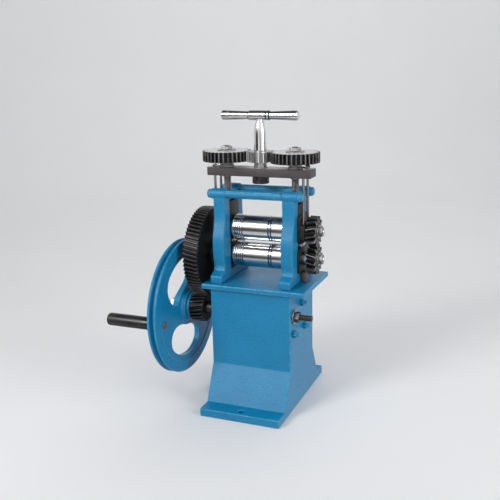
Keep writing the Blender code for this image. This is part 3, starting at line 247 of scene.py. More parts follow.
# Gears
PRESSURE_ANGLE = math.radians(20)
TOOTH_SHARE = 0.44
FLANK_SHARES = (0.0, 0.12, 0.35, 0.6, 0.85, 1.0)
ROOT_FILLET_SHARE = 0.12
TIP_CHAMFER_SHARE = 1.3
GEAR_MODULE = 0.002
ROLL_GEAR_MODULE = 0.0032
SHORT_TEETH = (0.75, 1.0)
LONG_TEETH = (1.05, 1.2)
TOOTH_CHAMFER = 0.00035
GEAR_RIM = 0.0016
DISH_SLOPE = 0.0006
ROLL_DISH = (0.0009, 0.0105)
DRIVE_DISH = (0.0008, 0.022)
SLANTED_LAYERS = 7
DRIVE_TEETH, CRANK_TEETH, ROLL_TEETH, SCREW_TEETH, STEM_TEETH = 67, 20, 12, 34, 19
DRIVE_HELIX = math.radians(10)
ROLL_HELIX = math.radians(12)
MESH_TURN = math.atan2(CRANK_Z - LOWER_Z, CRANK_Y)

# How finely round shapes are cut, and how the castings are rounded
SMALL_SIDES = 24
ROD_SIDES = 32
THREAD_SIDES = 40
HOLE_SIDES = 48
SIDES = 64
HEX_SIDES = 72
FINE_SIDES = 96
RIM_SIDES = 160
SHARP = math.radians(32)
STAND_VOXEL = 0.0011
FRAME_VOXEL = 0.0005
WHEEL_VOXEL = 0.0007

BODY_OF = {n: body for body, nodes in frame["record"]["behaviour"]["bodies"].items() for n in nodes}
SLOT_OF = {part["node"]: part["material_slot"] for part in frame["record"]["subparts"]}


# Materials


class Nodes:
    """A node tree being put together."""

    def __init__(self, tree):
        self.tree = tree

    def feed(self, socket, source):
        """A link or a plain value into a socket."""
        if isinstance(source, bpy.types.NodeSocket):
            self.tree.links.new(source, socket)
        else:
            socket.default_value = source

    def node(self, kind, links=(), **values):
        """A node with settings as attributes, and links or plain values into its sockets."""
        made = self.tree.nodes.new(kind)
        for key, value in values.items():
            setattr(made, key, value)
        for socket, source in dict(links).items():
            self.feed(made.inputs[socket], source)
        return made

    def ranged(self, source, low, high, to_low=0.0, to_high=1.0):
        """A value mapped from one range to another and held inside it."""
        links = {"Value": source, "From Min": low, "From Max": high, "To Min": to_low, "To Max": to_high}
        return self.node("ShaderNodeMapRange", links).outputs["Result"]

    def maths(self, operation, *values):
        """Values put together."""
        return self.node("ShaderNodeMath", dict(enumerate(values)), operation=operation).outputs[0]

    def dot(self, source, way):
        """How far a direction goes along another."""
        made = self.node("ShaderNodeVectorMath", {0: source, 1: way}, operation="DOT_PRODUCT")
        return made.outputs["Value"]

    def blend(self, factor, first, second):
        """A colour between two, each a link or its red, green and blue."""
        made = self.node("ShaderNodeMix", {0: factor}, data_type="RGBA")
        for socket, source in zip([s for s in made.inputs if s.type == "RGBA"], (first, second)):
            self.feed(socket, source if isinstance(source, bpy.types.NodeSocket) else (*source, 1))
        return [s for s in made.outputs if s.type == "RGBA"][0]

    def ramp(self, source, stops):
        """A grey level by a value that runs from -1 to 1."""
        made = self.node("ShaderNodeValToRGB", {0: self.maths("MULTIPLY_ADD", source, 0.5, 0.5)})
        ends = made.color_ramp.elements
        while len(ends) < len(stops):
            ends.new(0.5)
        for element, (place, level) in zip(ends, stops):
            element.position = (place + 1) / 2
            element.color = (level, level, level, 1)
        return made.outputs["Color"]


class Finish(Nodes):
    """A node material being put together."""

    def __init__(self, name, colour, roughness, metallic=0.0):
        self.material = bpy.data.materials.new(name)
        self.material.use_nodes = True
        super().__init__(self.material.node_tree)
        self.shader = self.tree.nodes["Principled BSDF"]
        self.set("Base Color", (*colour, 1))
        self.set("Roughness", roughness)
        self.set("Metallic", metallic)
        self.place = self.tree.nodes.new("ShaderNodeTexCoord").outputs["Object"]

    def set(self, socket, source):
        """A source on one of the shader's sockets."""
        self.feed(self.shader.inputs[socket], source)

    def noise(self, scale, detail=2.0, rough=0.5):
        """Grey noise over the object's own coordinates."""
        links = {"Vector": self.place, "Scale": scale, "Detail": detail, "Roughness": rough}
        return self.node("ShaderNodeTexNoise", links).outputs["Fac"]

    def rings(self, axis, scale):
        """Fine turning marks: noise along the axis plus the distance from it."""
        split = self.node("ShaderNodeSeparateXYZ", {0: self.place}).outputs
        first, second = [split[other] for other in "XYZ" if other != axis]
        across = self.node("ShaderNodeCombineXYZ", {0: first, 1: second}).outputs[0]
        reach = self.node("ShaderNodeVectorMath", {0: across}, operation="LENGTH").outputs["Value"]
        links = {"W": self.maths("ADD", split[axis], reach), "Scale": scale, "Detail": 3.0}
        return self.node("ShaderNodeTexNoise", links, noise_dimensions="1D").outputs["Fac"]

    def edges(self, low, high):
        """How far a place stands out as an outer edge."""
        return self.ranged(self.node("ShaderNodeNewGeometry").outputs["Pointiness"], low, high)

    def bump(self, height, strength, distance):
        """Relief on the shader's normal, laid over any that is there."""
        normal = self.shader.inputs["Normal"]
        links = {"Height": height, "Strength": strength, "Distance": distance}
        if normal.links:
            links["Normal"] = normal.links[0].from_socket
        self.feed(normal, self.node("ShaderNodeBump", links).outputs["Normal"])


def enamel():
    """Glossy blue enamel over a sand casting."""
    look = Finish("blue_enamel", (0.001, 0.195, 0.400), 0.34)
    broad = look.noise(22, 3)
    grain = look.noise(430, 4, 0.75)
    base = look.blend(look.ranged(broad, 0.3, 0.7), (0.0010, 0.185, 0.375), (0.0016, 0.215, 0.425))
    flecked = look.blend(look.ranged(grain, 0.50, 0.72, 0, 0.55), base, (0.016, 0.30, 0.57))
    pits = look.blend(look.ranged(grain, 0.44, 0.30, 0, 0.50), flecked, (0.001, 0.11, 0.25))
    # Convex edges are lightened: partly thinner paint there, partly a painted highlight.
    thin = look.maths("MULTIPLY", look.edges(0.512, 0.57), look.ranged(look.noise(130, 3), 0.36, 0.60))
    look.set("Base Color", look.blend(look.maths("MULTIPLY", thin, 0.70), pits, (0.14, 0.50, 0.70)))
    look.set("Roughness", look.ranged(grain, 0.3, 0.7, 0.22, 0.46))
    look.set("Specular IOR Level", 0.46)
    look.bump(look.noise(75, 2), 0.30, 0.0012)
    look.bump(grain, 0.60, 0.0010)
    return look.material


def blackened(name, colour, worn, roughness=0.40):
    """Blackened steel with lighter worn edges."""
    look = Finish(name, colour, roughness, 0.55)
    patches = look.noise(90, 4)
    fine = look.noise(1500, 2)
    wear = look.maths("MULTIPLY", look.edges(0.51, 0.60), look.ranged(patches, 0.35, 0.62))
    base = look.blend(look.ranged(patches, 0.35, 0.7, 0, 0.5), colour, [c * 1.8 for c in colour])
    look.set("Base Color", look.blend(wear, base, worn))
    look.set("Roughness", look.ranged(fine, 0.3, 0.7, roughness - 0.08, roughness + 0.12))
    look.bump(fine, 0.20, 0.0002)
    return look.material


def iron(name, dark, light, fleck):
    """Dull dark iron with a fine blasted grain."""
    look = Finish(name, dark, 0.5, 0.35)
    grain = look.noise(1300, 3, 0.7)
    base = look.blend(look.ranged(look.noise(45, 4), 0.3, 0.7), dark, light)
    look.set("Base Color", look.blend(look.ranged(grain, 0.5, 0.8, 0, 0.4), base, fleck))
    look.set("Roughness", look.ranged(grain, 0.3, 0.7, 0.42, 0.62))
    look.bump(grain, 0.25, 0.0003)
    return look.material


def steel(name, axis, colour, low, high, mark=0.10, scale=2200, metallic=1.0):
    """Turned or ground steel, its marks running round the axis."""
    look = Finish(name, colour, (low + high) / 2, metallic)
    marks = look.rings(axis, scale)
    smear = look.noise(30, 3)
    dull = look.blend(look.ranged(smear, 0.40, 0.75, 0, 0.6), colour, [c * 0.72 for c in colour])
    streaks = look.ranged(marks, 0.55, 0.8, 0, 0.35)
    look.set("Base Color", look.blend(streaks, dull, [c * 0.78 for c in colour]))
    uneven = look.maths("ADD", marks, look.maths("MULTIPLY", smear, 0.6))
    look.set("Roughness", look.ranged(uneven, 0.5, 1.1, low, high))
    look.bump(marks, mark, 0.0001)
    return look.material


def black_grip():
    """Smooth black turned grip with faint rings and a handled sheen."""
    look = Finish("black_turned_grip", (0.010, 0.010, 0.011), 0.30)
    marks = look.rings("X", 1400)
    worn = look.noise(60, 3)
    handled = look.ranged(worn, 0.45, 0.75, 0, 0.6)
    look.set("Base Color", look.blend(handled, (0.009, 0.009, 0.010), (0.030, 0.029, 0.030)))
    look.set("Roughness", look.ranged(look.maths("ADD", marks, worn), 0.7, 1.3, 0.22, 0.42))
    look.bump(marks, 0.12, 0.0002)
    return look.material


PAINT = enamel()
BLACK = blackened("blackened_steel", (0.009, 0.009, 0.010), (0.11, 0.105, 0.105))
# Lighter greys for the gears' tip lands and chamfers: partly edge wear, partly a painted highlight. The grey
# one is also the shaft nut's own colour.
GREY_STEEL_AND_TIP_HIGHLIGHT = blackened("grey_steel_and_tip_highlight", (0.065, 0.059, 0.061), (0.20, 0.19, 0.19), 0.38)
DIM_TIP_HIGHLIGHT = blackened("dim_tip_highlight_steel", (0.030, 0.027, 0.028), (0.10, 0.095, 0.095), 0.44)
IRON = iron("dark_plate_iron", (0.062, 0.054, 0.057), (0.085, 0.076, 0.079), (0.13, 0.12, 0.12))
BLOCK = iron("dark_block_iron", (0.020, 0.018, 0.019), (0.036, 0.032, 0.033), (0.07, 0.065, 0.065))
BROWN = iron("brown_steel", (0.11, 0.088, 0.078), (0.17, 0.14, 0.125), (0.26, 0.23, 0.21))
ROLL = steel("ground_roll_steel", "X", (0.70, 0.70, 0.71), 0.10, 0.22, 0.08)
POLISHED = steel("polished_steel_z", "Z", (0.70, 0.70, 0.71), 0.09, 0.20, 0.06)
PLAIN_X = steel("turned_steel_x", "X", (0.33, 0.32, 0.32), 0.26, 0.42, 0.16, 1600, 0.8)
PLAIN_Z = steel("turned_steel_z", "Z", (0.44, 0.43, 0.43), 0.24, 0.40, 0.16, 1600, 0.8)
FACE = steel("machined_gear_face", "Z", (0.66, 0.65, 0.65), 0.24, 0.36, 0.20, 1400, 0.5)
# The bridge plate's top face: ground steel, made lighter as a painted highlight.
GROUND_TOP_AND_HIGHLIGHT = steel("ground_plate_top_and_highlight", "Y", (0.60, 0.59, 0.59), 0.28, 0.40, 0.16, 1400, 0.3)
SATIN = steel("satin_steel", "Z", (0.55, 0.54, 0.54), 0.28, 0.40, 0.10, 1600, 0.4)
# A dark finish for the floors of the rolls' wire grooves and the T-handle bar's grooves: painted shade.
GROOVE_SHADE = blackened("painted_groove_shade_steel", (0.020, 0.020, 0.022), (0.06, 0.06, 0.06), 0.30)
FACE_X = steel("machined_pinion_face", "X", (0.17, 0.16, 0.16), 0.32, 0.46, 0.20, 1400, 0.5)
DARK_Z = steel("dark_thread_steel", "Z", (0.32, 0.31, 0.31), 0.24, 0.38, 0.14, 1600)
DARK_X = steel("dark_shaft_steel", "X", (0.055, 0.050, 0.048), 0.30, 0.46, 0.14, 1600, 0.7)
GRIP = black_grip()
SLOT_FINISH = {
    "blue_paint": PAINT, "black_steel": BLACK, "dark_iron": IRON,
    "bright_steel": POLISHED, "plain_steel": PLAIN_Z, "black_grip": GRIP,
}


# Shapes


def circle(radius, sides=SIDES, turn=0.0):
    """Points of a circle, counter-clockwise."""
    step = 2 * math.pi / sides
    return [(radius * math.cos(turn + k * step), radius * math.sin(turn + k * step)) for k in range(sides)]


def arc(centre, radii, first, last, steps):
    """Points along an arc of a circle or an ellipse, from one angle to another in degrees."""
    angles = [math.radians(first + (last - first) * k / steps) for k in range(steps + 1)]
    return [(centre[0] + radii[0] * math.cos(a), centre[1] + radii[1] * math.sin(a)) for a in angles]


def at_height(outline, height):
    """An outline lifted to a height."""
    return [(x, y, height) for x, y in outline]


def loft(rings, bored=False):
    """Skin over rings of equally many points. A bored loft closes from its last ring to its first."""
    count = len(rings[0])
    verts = [point for ring in rings for point in ring]
    faces = []
    for row in range(len(rings) if bored else len(rings) - 1):
        low, high = row * count, ((row + 1) % len(rings)) * count
        for k in range(count):
            nxt = (k + 1) % count
            faces.append((low + k, low + nxt, high + nxt, high + k))
    if not bored:
        faces.append(tuple(range(count))[::-1])
        faces.append(tuple((len(rings) - 1) * count + k for k in range(count)))
    return verts, faces


def turned(profile, sides=SIDES, bored=False):
    """A lathe shape about Z from (radius, height) points."""
    return loft([at_height(circle(radius, sides), height) for radius, height in profile], bored)


def mirrored(points):
    """Profile points of a right end as those of a left end."""
    return [(radius, -along) for radius, along in reversed(points)]


def row_marks(profile, rows, sides=SIDES):
    """Each face's finish on an unbored lathe shape: 1 on the rows whose two points are both in the set."""
    marks = []
    for row in range(len(profile) - 1):
        marks += [1 if profile[row] in rows and profile[row + 1] in rows else 0] * sides
    return marks + [0, 0]


def prism(outline, holes, low, high):
    """An outline with holes, drawn out along Z."""
    loops = [outline] + list(holes)
    flat = [(x, y) for loop in loops for x, y in loop]
    triangles = tessellate_polygon([[Vector((x, y, 0)) for x, y in loop] for loop in loops])
    verts = at_height(flat, low) + at_height(flat, high)
    total = len(flat)
    faces = [tuple(reversed(t)) for t in triangles] + [tuple(total + k for k in t) for t in triangles]
    start = 0
    for loop in loops:
        for k in range(len(loop)):
            a, b = start + k, start + (k + 1) % len(loop)
            faces.append((a, b, total + b, total + a))
        start += len(loop)
    return verts, faces


def peg(radius, low, high, sides=HOLE_SIDES):
    """A round peg along Z, to cut a hole with."""
    return prism(circle(radius, sides), [], low, high)


def moved(shape, offset):
    """A shape shifted by an offset."""
    return [tuple(Vector(p) + Vector(offset)) for p in shape[0]], shape[1]


def along_x(shape, offset=(0, 0, 0)):
    """A shape drawn along Z laid along X: its Z becomes +X and its X becomes +Y, its Y +Z."""
    swap = Matrix(((0, 0, 1, 0), (1, 0, 0, 0), (0, 1, 0, 0), (0, 0, 0, 1)))
    matrix = Matrix.Translation(Vector(offset)) @ swap
    return [tuple(matrix @ Vector(p)) for p in shape[0]], shape[1]


def together(*shapes):
    """Several shapes as one list of points and faces."""
    verts, faces = [], []
    for points, skin in shapes:
        base = len(verts)
        verts += points
        faces += [tuple(base + k for k in face) for face in skin]
    return verts, faces


def rounded(corners, radius, steps=6):
    """A convex outline with each corner rounded to the radius."""
    points = []
    count = len(corners)
    for k in range(count):
        here = Vector(corners[k])
        before = (Vector(corners[k - 1]) - here).normalized()
        after = (Vector(corners[(k + 1) % count]) - here).normalized()
        half = before.angle(after) / 2
        reach = radius / math.tan(half)
        centre = here + (before + after).normalized() * (radius / math.sin(half))
        start, end = here + before * reach, here + after * reach
        first = math.atan2(start.y - centre.y, start.x - centre.x)
        sweep = math.atan2(end.y - centre.y, end.x - centre.x) - first
        sweep = (sweep + math.pi) % (2 * math.pi) - math.pi
        points += arc(centre, (radius, radius), math.degrees(first), math.degrees(first + sweep), steps)
    return points


def rectangle(x_low, x_high, y_low, y_high):
    """Corners of a rectangle, counter-clockwise."""
    return [(x_low, y_low), (x_high, y_low), (x_high, y_high), (x_low, y_high)]


def inset(outline, depth):
    """A counter-clockwise outline drawn in by a depth."""
    points = []
    count = len(outline)
    for k in range(count):
        here = Vector(outline[k])
        into = (here - Vector(outline[k - 1])).normalized()
        out = (Vector(outline[(k + 1) % count]) - here).normalized()
        left = Vector((-into.y - out.y, into.x + out.x))
        if left.length < 1e-6:
            left = Vector((-into.y, into.x))
        left.normalize()
        spread = max(0.5, left.dot(Vector((-into.y, into.x))))
        points.append(tuple(here + left * (depth / spread)))
    return points


def cushion(outline, low, high, radius, steps=4):
    """An outline drawn out along Z with its two rims rounded."""
    turns = [math.pi / 2 * k / steps for k in range(steps + 1)]
    rims = [(inset(outline, radius * (1 - math.sin(a))), radius * (1 - math.cos(a))) for a in turns]
    rings = [at_height(rim, low + rise) for rim, rise in rims]
    return loft(rings + [at_height(rim, high - rise) for rim, rise in reversed(rims)])


def smooth_loop(points, steps, closed=True):
    """A curve through the points, with some added between each two."""
    padded = [points[-1], *points, *points[:2]] if closed else [points[0], *points, points[-1]]
    padded = [Vector(point) for point in padded]
    curve = []
    for a, b, c, d in zip(padded, padded[1:], padded[2:], padded[3:]):
        for step in range(steps):
            t = step / steps
            point = b + (c - a) * (t / 2) + (2 * a - 5 * b + 4 * c - d) * (t * t / 2)
            point += (3 * b - 3 * c + d - a) * (t ** 3 / 2)
            curve.append((point.x, point.y))
    return curve if closed else curve + [tuple(points[-1])]


def hexagon(across, cap, height):
    """A hexagon ring of that width across its flats, cut back to a circle of radius cap."""
    points = []
    for k in range(HEX_SIDES):
        angle = 2 * math.pi * k / HEX_SIDES
        radius = min(across / 2 / math.cos((angle % (math.pi / 3)) - math.pi / 6), cap)
        points.append((radius * math.cos(angle), radius * math.sin(angle), height))
    return points


def hex_rings(across, low, high):
    """Rings of a hexagon with both ends chamfered."""
    corner = across / 2 / math.cos(math.pi / 6) - across / 2
    rise = corner * 0.58 * (1 if high > low else -1)
    steps = [(across / 2 * 0.985 + corner * share, rise * share) for share in (0.0, 0.35, 0.7, 1.0)]
    rings = [hexagon(across, cap, low + up) for cap, up in steps]
    return rings + [hexagon(across, cap, high - up) for cap, up in reversed(steps)]


def hex_nut(across, bore, low, high):
    """A chamfered hexagon nut with a countersunk bore."""
    sink = 0.0006
    up = sink if high > low else -sink
    inside = [(bore + sink, high), (bore, high - up), (bore, low + up), (bore + sink, low)]
    rings = [at_height(circle(radius, HEX_SIDES), height) for radius, height in inside]
    return loft(hex_rings(across, low, high) + rings, bored=True)


def washer(outer, bore, low, high):
    """A washer with broken edges."""
    edge = min(GAP, abs(high - low) / 4)
    up = edge if high > low else -edge
    profile = [(outer - edge, low), (outer, low + up), (outer, high - up), (outer - edge, high)]
    return turned(profile + [(bore, high), (bore, low)], SIDES, bored=True)


def washer_and_nut(sizes, bore, seat, way=1, between=GAP):
    """A washer that lies on a seat, and the nut on it, towards +Z or -Z."""
    radius, thickness, across, height = sizes
    low = seat + way * GAP
    high = low + way * thickness
    base = high + way * between
    return washer(radius, bore, low, high), hex_nut(across, bore, base, base + way * height)


def thread(radius, pitch, low, high):
    """A threaded rod about Z with a chamfered tip at each end."""
    depth = pitch / 2
    rows = max(2, int((high - low) / pitch * 6))
    rings = []
    for row in range(rows + 1):
        height = low + (high - low) * row / rows
        end = min(height - low, high - height)
        ring = []
        for k in range(THREAD_SIDES):
            angle = 2 * math.pi * k / THREAD_SIDES
            wave = (height / pitch - k / THREAD_SIDES) % 1.0
            reach = min(radius - depth * (1 - abs(2 * wave - 1)), radius - depth + end)
            ring.append((reach * math.cos(angle), reach * math.sin(angle), height))
        rings.append(ring)
    return loft(rings)


def tooth_angle(radius, teeth, module):
    """Half the angle that a tooth takes at a radius, on an involute flank."""
    base = teeth * module / 2 * math.cos(PRESSURE_ANGLE)
    at_radius = math.acos(min(1.0, base / radius)) if radius > base else 0.0
    spread = math.tan(PRESSURE_ANGLE) - PRESSURE_ANGLE - (math.tan(at_radius) - at_radius)
    return TOOTH_SHARE * math.pi / teeth + spread


def gear_ring(teeth, module, shares, height, turn, chamfer=0.0):
    """One ring of a gear: its teeth with curved flanks, drawn in at a chamfer."""
    pitch = teeth * module / 2
    root, tip = pitch - shares[1] * module, pitch + shares[0] * module
    flank = []
    for share in FLANK_SHARES:
        radius = root + (tip - root) * share
        angle = tooth_angle(radius, teeth, module)
        if share == 0.0:
            angle += ROOT_FILLET_SHARE * module / radius
        drawn = share if share < 1 else TIP_CHAMFER_SHARE
        flank.append((radius - chamfer * drawn, angle - chamfer / radius))
    ring = []
    for tooth in range(teeth):
        middle = 2 * math.pi * tooth / teeth + turn
        run = [(r, middle - a) for r, a in flank] + [(r, middle + a) for r, a in reversed(flank)]
        ring += [(r * math.cos(a), r * math.sin(a), height) for r, a in run]
    return ring


def gear(teeth, module, bore, width, first_turn, helix=0.0, shares=SHORT_TEETH, dish=0.0, hub=0.0):
    """A gear from height 0 to its width, and each face's finish: 0 flanks, 1 chamfers and tip lands, lighter
    as edge wear and a painted highlight, 2 its top face.
    """
    pitch = teeth * module / 2
    twist = width * math.tan(helix) / pitch
    layers = SLANTED_LAYERS if helix else 1
    chamfer = TOOTH_CHAMFER
    heights = [chamfer + (width - 2 * chamfer) * k / layers for k in range(layers + 1)]
    heights = [0.0, *heights, width]
    rings = []
    for k, height in enumerate(heights):
        drawn = chamfer if k in (0, len(heights) - 1) else 0.0
        rings.append(gear_ring(teeth, module, shares, height, first_turn + twist * height / width, drawn))
    count = len(rings[0])
    rim = pitch - shares[1] * module - GEAR_RIM
    inner = [(rim, 0.0)]
    if dish:
        inner += [(rim - DISH_SLOPE, dish), (hub + DISH_SLOPE, dish), (hub, 0.0)]
    inner += [(bore + EDGE, 0.0), (bore, EDGE)]
    for radius, sunk in inner:
        rings.append(at_height(circle(radius, count, first_turn + twist), width - sunk))
    for radius, sunk in reversed(inner):
        rings.append(at_height(circle(radius, count, first_turn), sunk))
    top = len(heights) - 1
    floor = top + 2 if dish else -1
    points = len(FLANK_SHARES)
    marks = []
    for row in range(len(rings)):
        for column in range(count):
            # Chamfer bands and tip lands take finish 1: edge wear, and a painted highlight where the tips
            # catch light.
            worn = row in (0, top - 1) or (row < top and column % (2 * points) == points - 1)
            face = top <= row < top + len(inner) and row != floor
            marks.append(2 if face else 1 if worn else 0)
    return loft(rings, bored=True), marks


# Pieces


def applied(obj):
    """The object with its modifiers made part of its mesh."""
    bpy.context.view_layer.update()
    seen = obj.evaluated_get(bpy.context.evaluated_depsgraph_get())
    mesh = bpy.data.meshes.new_from_object(seen)
    obj.modifiers.clear()
    obj.data = mesh
    return obj


def modify(obj, kind, **values):
    """A modifier on the object, with its settings."""
    change = obj.modifiers.new(kind, kind)
    for key, value in values.items():
        setattr(change, key, value)


def solid(name, shape, marks=None):
    """A mesh object of a shape with its faces pointing out."""
    mesh = bpy.data.meshes.new(name)
    mesh.from_pydata(shape[0], [], shape[1])
    if marks:
        mesh.polygons.foreach_set("material_index", marks)
    work = bmesh.new()
    work.from_mesh(mesh)
    bmesh.ops.recalc_face_normals(work, faces=work.faces)
    work.to_mesh(mesh)
    work.free()
    obj = bpy.data.objects.new(name, mesh)
    bpy.context.scene.collection.objects.link(obj)
    return obj


def carved(obj, *shapes):
    """The object with shapes cut out of it."""
    tool = solid(obj.name + "_tool", together(*shapes))
    modify(obj, "BOOLEAN", operation="DIFFERENCE", solver="EXACT", object=tool)
    applied(obj)
    bpy.data.objects.remove(tool)
    return obj


def cast(obj, voxel, rounds):
    """The object remade as one skin with soft edges and fillets, as a casting has."""
    modify(obj, "REMESH", mode="VOXEL", voxel_size=voxel)
    modify(obj, "SMOOTH", factor=0.5, iterations=rounds)
    return applied(obj)


def bevelled(obj, width):
    """The object with its sharp edges rounded."""
    work = bmesh.new()
    work.from_mesh(obj.data)
    bmesh.ops.remove_doubles(work, verts=work.verts, dist=0.00002)
    bmesh.ops.dissolve_limit(work, angle_limit=math.radians(0.5), verts=work.verts, edges=work.edges)
    work.to_mesh(obj.data)
    work.free()
    modify(obj, "BEVEL", width=width, segments=2, limit_method="ANGLE", angle_limit=math.radians(40))
    return applied(obj)


def dress(obj, node, finishes, place=(0, 0, 0)):
    """The object stands for a CAD node, in its place and on its body."""
    obj.location = MIDDLE + Vector(place)
    marks = [0] * len(obj.data.polygons)
    obj.data.polygons.foreach_get("material_index", marks)
    obj.data.materials.clear()
    for finish in finishes:
        obj.data.materials.append(finish)
    obj.data.polygons.foreach_set("material_index", marks)
    obj.data.shade_smooth()
    obj.data.set_sharp_from_angle(angle=SHARP)
    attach(obj, BODY_OF[node])
    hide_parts(node)
    return obj


def add(node, shape, finishes, place=(0, 0, 0), marks=None):
    """A piece made of one shape, in place of its CAD node."""
    if not isinstance(finishes, tuple):
        finishes = (finishes,)
    return dress(solid(node + "_skin", shape, marks), node, finishes, place)


def edged_copy(node, finish, width):
    """A CAD node's solid with its edges rounded."""
    source = frame["nodes"][node]
    obj = bpy.data.objects.new(node + "_skin", source.data.copy())
    bpy.context.scene.collection.objects.link(obj)
    obj.data.transform(Matrix.Translation(-MIDDLE))
    return dress(bevelled(obj, width), node, [finish])


def dress_stand():
    """Stand casting with soft cast edges."""
    half = STAND_HALF
    foot = half + SLOPE_RUN
    end = foot + FLANGE_RUN
    neck = TABLE_HEIGHT - TABLE_THICKNESS / 2
    side = [(end, 0), (end, FLANGE_THICKNESS), (foot, FLANGE_THICKNESS), (half, KNEE_HEIGHT), (half, neck)]
    outline = side + [(-y, z) for y, z in reversed(side)]
    obj = solid("stand_casting_skin", along_x(prism(outline, [], -STAND_SIDE, STAND_SIDE)))

    fall = KNEE_HEIGHT - FLANGE_THICKNESS
    inner_foot = foot - STAND_WALL * math.hypot(SLOPE_RUN, fall) / fall
    inner, roof = half - STAND_WALL, TABLE_HEIGHT - TABLE_ROOF
    hollow = [(inner_foot, -OVERRUN), (inner_foot, FLANGE_THICKNESS), (inner, KNEE_HEIGHT), (inner, roof)]
    cavity = hollow + [(-y, z) for y, z in reversed(hollow)]
    wall = STAND_SIDE - STAND_WALL
    hole = peg(BENCH_HOLE_RADIUS, -OVERRUN, FLANGE_THICKNESS + OVERRUN)
    holes = [moved(hole, (0, side * (end - BENCH_HOLE_INSET), 0)) for side in (-1, 1)]
    carved(obj, along_x(prism(cavity, [], -wall, wall)), *holes)

    lip = half + TABLE_LIP
    top = rectangle(-STAND_SIDE - TABLE_LEFT, STAND_SIDE + TABLE_RIGHT, -lip, lip)
    plate = prism(top, [], TABLE_HEIGHT - TABLE_THICKNESS, TABLE_HEIGHT)
    barrel = [(SHAFT_BOSS_RADIUS, -wall - SHAFT_BOSS_SINK), (SHAFT_BOSS_RADIUS, -wall + SHAFT_BOSS_LENGTH)]
    extra = solid("extra", together(plate, along_x(turned(barrel), (0, CRANK_Y, CRANK_Z))))
    merged = bmesh.new()
    merged.from_mesh(obj.data)
    merged.from_mesh(extra.data)
    merged.to_mesh(obj.data)
    merged.free()
    bpy.data.objects.remove(extra)
    cast(obj, STAND_VOXEL, 4)
    reach = STAND_SIDE + OVERRUN
    carved(obj, along_x(peg(SHAFT_BORE, -reach, reach), (0, CRANK_Y, CRANK_Z)))
    return dress(obj, "stand_casting", [PAINT])


def frame_outline():
    """The side frame's outline in the YZ plane."""
    foot, tie, boss, arch = FOOT_DEPTH / 2, TIE_SPREAD / 2, TIE_BOSS / 2, TIE_ARCH / 2
    corner = (foot - FOOT_ROUND, TABLE_HEIGHT + FOOT_HEIGHT - FOOT_ROUND)
    side = [(foot, TABLE_HEIGHT + GAP)] + arc(corner, (FOOT_ROUND, FOOT_ROUND), 0, 90, 6)
    column = [((tie + boss) * depth, TABLE_HEIGHT + TIE_RISE * height) for depth, height in COLUMN_SHARES]
    side += smooth_loop(column, 5, closed=False)
    side += arc((tie, TIE_Z), (arch, arch), -33, 120, 17)
    side.append((tie - boss, YOKE_Z))
    return side + [(-y, z) for y, z in reversed(side)]


def dress_frames():
    """The two cast side frames, their edges well rounded, with bosses over the tie bars."""
    half, reach = FRAME_THICKNESS / 2, FRAME_THICKNESS / 2 + TIE_BOSS_OUT
    window = rounded(rectangle(-WINDOW_WIDTH / 2, WINDOW_WIDTH / 2, SILL_Z, LINTEL_Z), WINDOW_ROUND)
    window_cut = along_x(prism(window, [], -half - OVERRUN, half + OVERRUN))
    boss, soft = TIE_BOSS / 2, TIE_BOSS_SOFT
    for side, word in ((-1, "left"), (1, "right")):
        slab = along_x(cushion(frame_outline(), -half, half, FRAME_ROUND))
        near, far = sorted((-side * half, side * reach))
        barrel = turned([(boss - soft, near), (boss, near + soft), (boss, far - soft), (boss - soft, far)])
        bosses = [along_x(barrel, (0, y, TIE_Z)) for y in (-TIE_SPREAD / 2, TIE_SPREAD / 2)]
        obj = solid(word + "_side_frame_skin", together(slab, *bosses))
        cast(obj, FRAME_VOXEL, 2)
        carved(obj, window_cut)
        dress(obj, word + "_side_frame", [PAINT], (side * SCREW_X, 0, 0))


def dress_ties():
    """Tie bars with domed heads on the left and domed nuts on the right."""
    seat, head, length = TIE_SEAT, TIE_HEAD, TIE_HEAD_LENGTH
    flat, rise = 0.42, 0.45
    dome = [(head * 0.94, seat), (head, seat + SOFT_EDGE)]
    dome += arc((head * flat, seat + length * rise), (head * (1 - flat), length * (1 - rise)), 0, 90, 8)
    dome.append((head * 0.2, seat + length))
    bolt = mirrored(dome) + [(TIE_SHANK, -seat), (TIE_SHANK, FRAME_NEAR)]
    bolt += [(TIE_END, FRAME_NEAR), (TIE_END, seat)]
    for y, word in ((-TIE_SPREAD / 2, "front"), (TIE_SPREAD / 2, "rear")):
        add(word + "_tie_bolt", along_x(turned(bolt)), PAINT, (0, y, TIE_Z))
        add(word + "_tie_nut", along_x(turned(dome)), PAINT, (0, y, TIE_Z))


def roll_profile(left_end):
    """Profile of a roll and its groove floor points, which take painted shade: ground face with wire grooves,
    collars and necks.
    """
    face = [(ROLL_RADIUS - EDGE, -ROLL_HALF), (ROLL_RADIUS, EDGE - ROLL_HALF)]
    slope, run = ROLL_RADIUS - WIRE_DEPTH * 0.7, WIRE_LIP * 0.45
    grooves = []
    for share in WIRE_SHARES:
        middle = share * 2 * ROLL_HALF
        floor = [(slope, middle - run), (ROLL_RADIUS - WIRE_DEPTH, middle), (slope, middle + run)]
        face += [(ROLL_RADIUS, middle - WIRE_LIP), *floor, (ROLL_RADIUS, middle + WIRE_LIP)]
        grooves += floor
    face += [(ROLL_RADIUS, ROLL_HALF - EDGE), (ROLL_RADIUS - EDGE, ROLL_HALF)]
    shoulder = [(COLLAR_RADIUS, ROLL_HALF), (COLLAR_RADIUS, FRAME_NEAR), (NECK_RADIUS, FRAME_NEAR)]
    near, far = ROLL_GEAR_NEAR - GAP, ROLL_GEAR_FAR
    right = [(NECK_RADIUS, near), (SHAFT_RADIUS, near), (SHAFT_RADIUS, far), (ROLL_THREAD, far)]
    right += [(ROLL_THREAD, ROLL_TIP), (ROLL_THREAD - TIP_EDGE, ROLL_TIP + TIP_EDGE)]
    return mirrored(shoulder + left_end) + face + shoulder + right, grooves


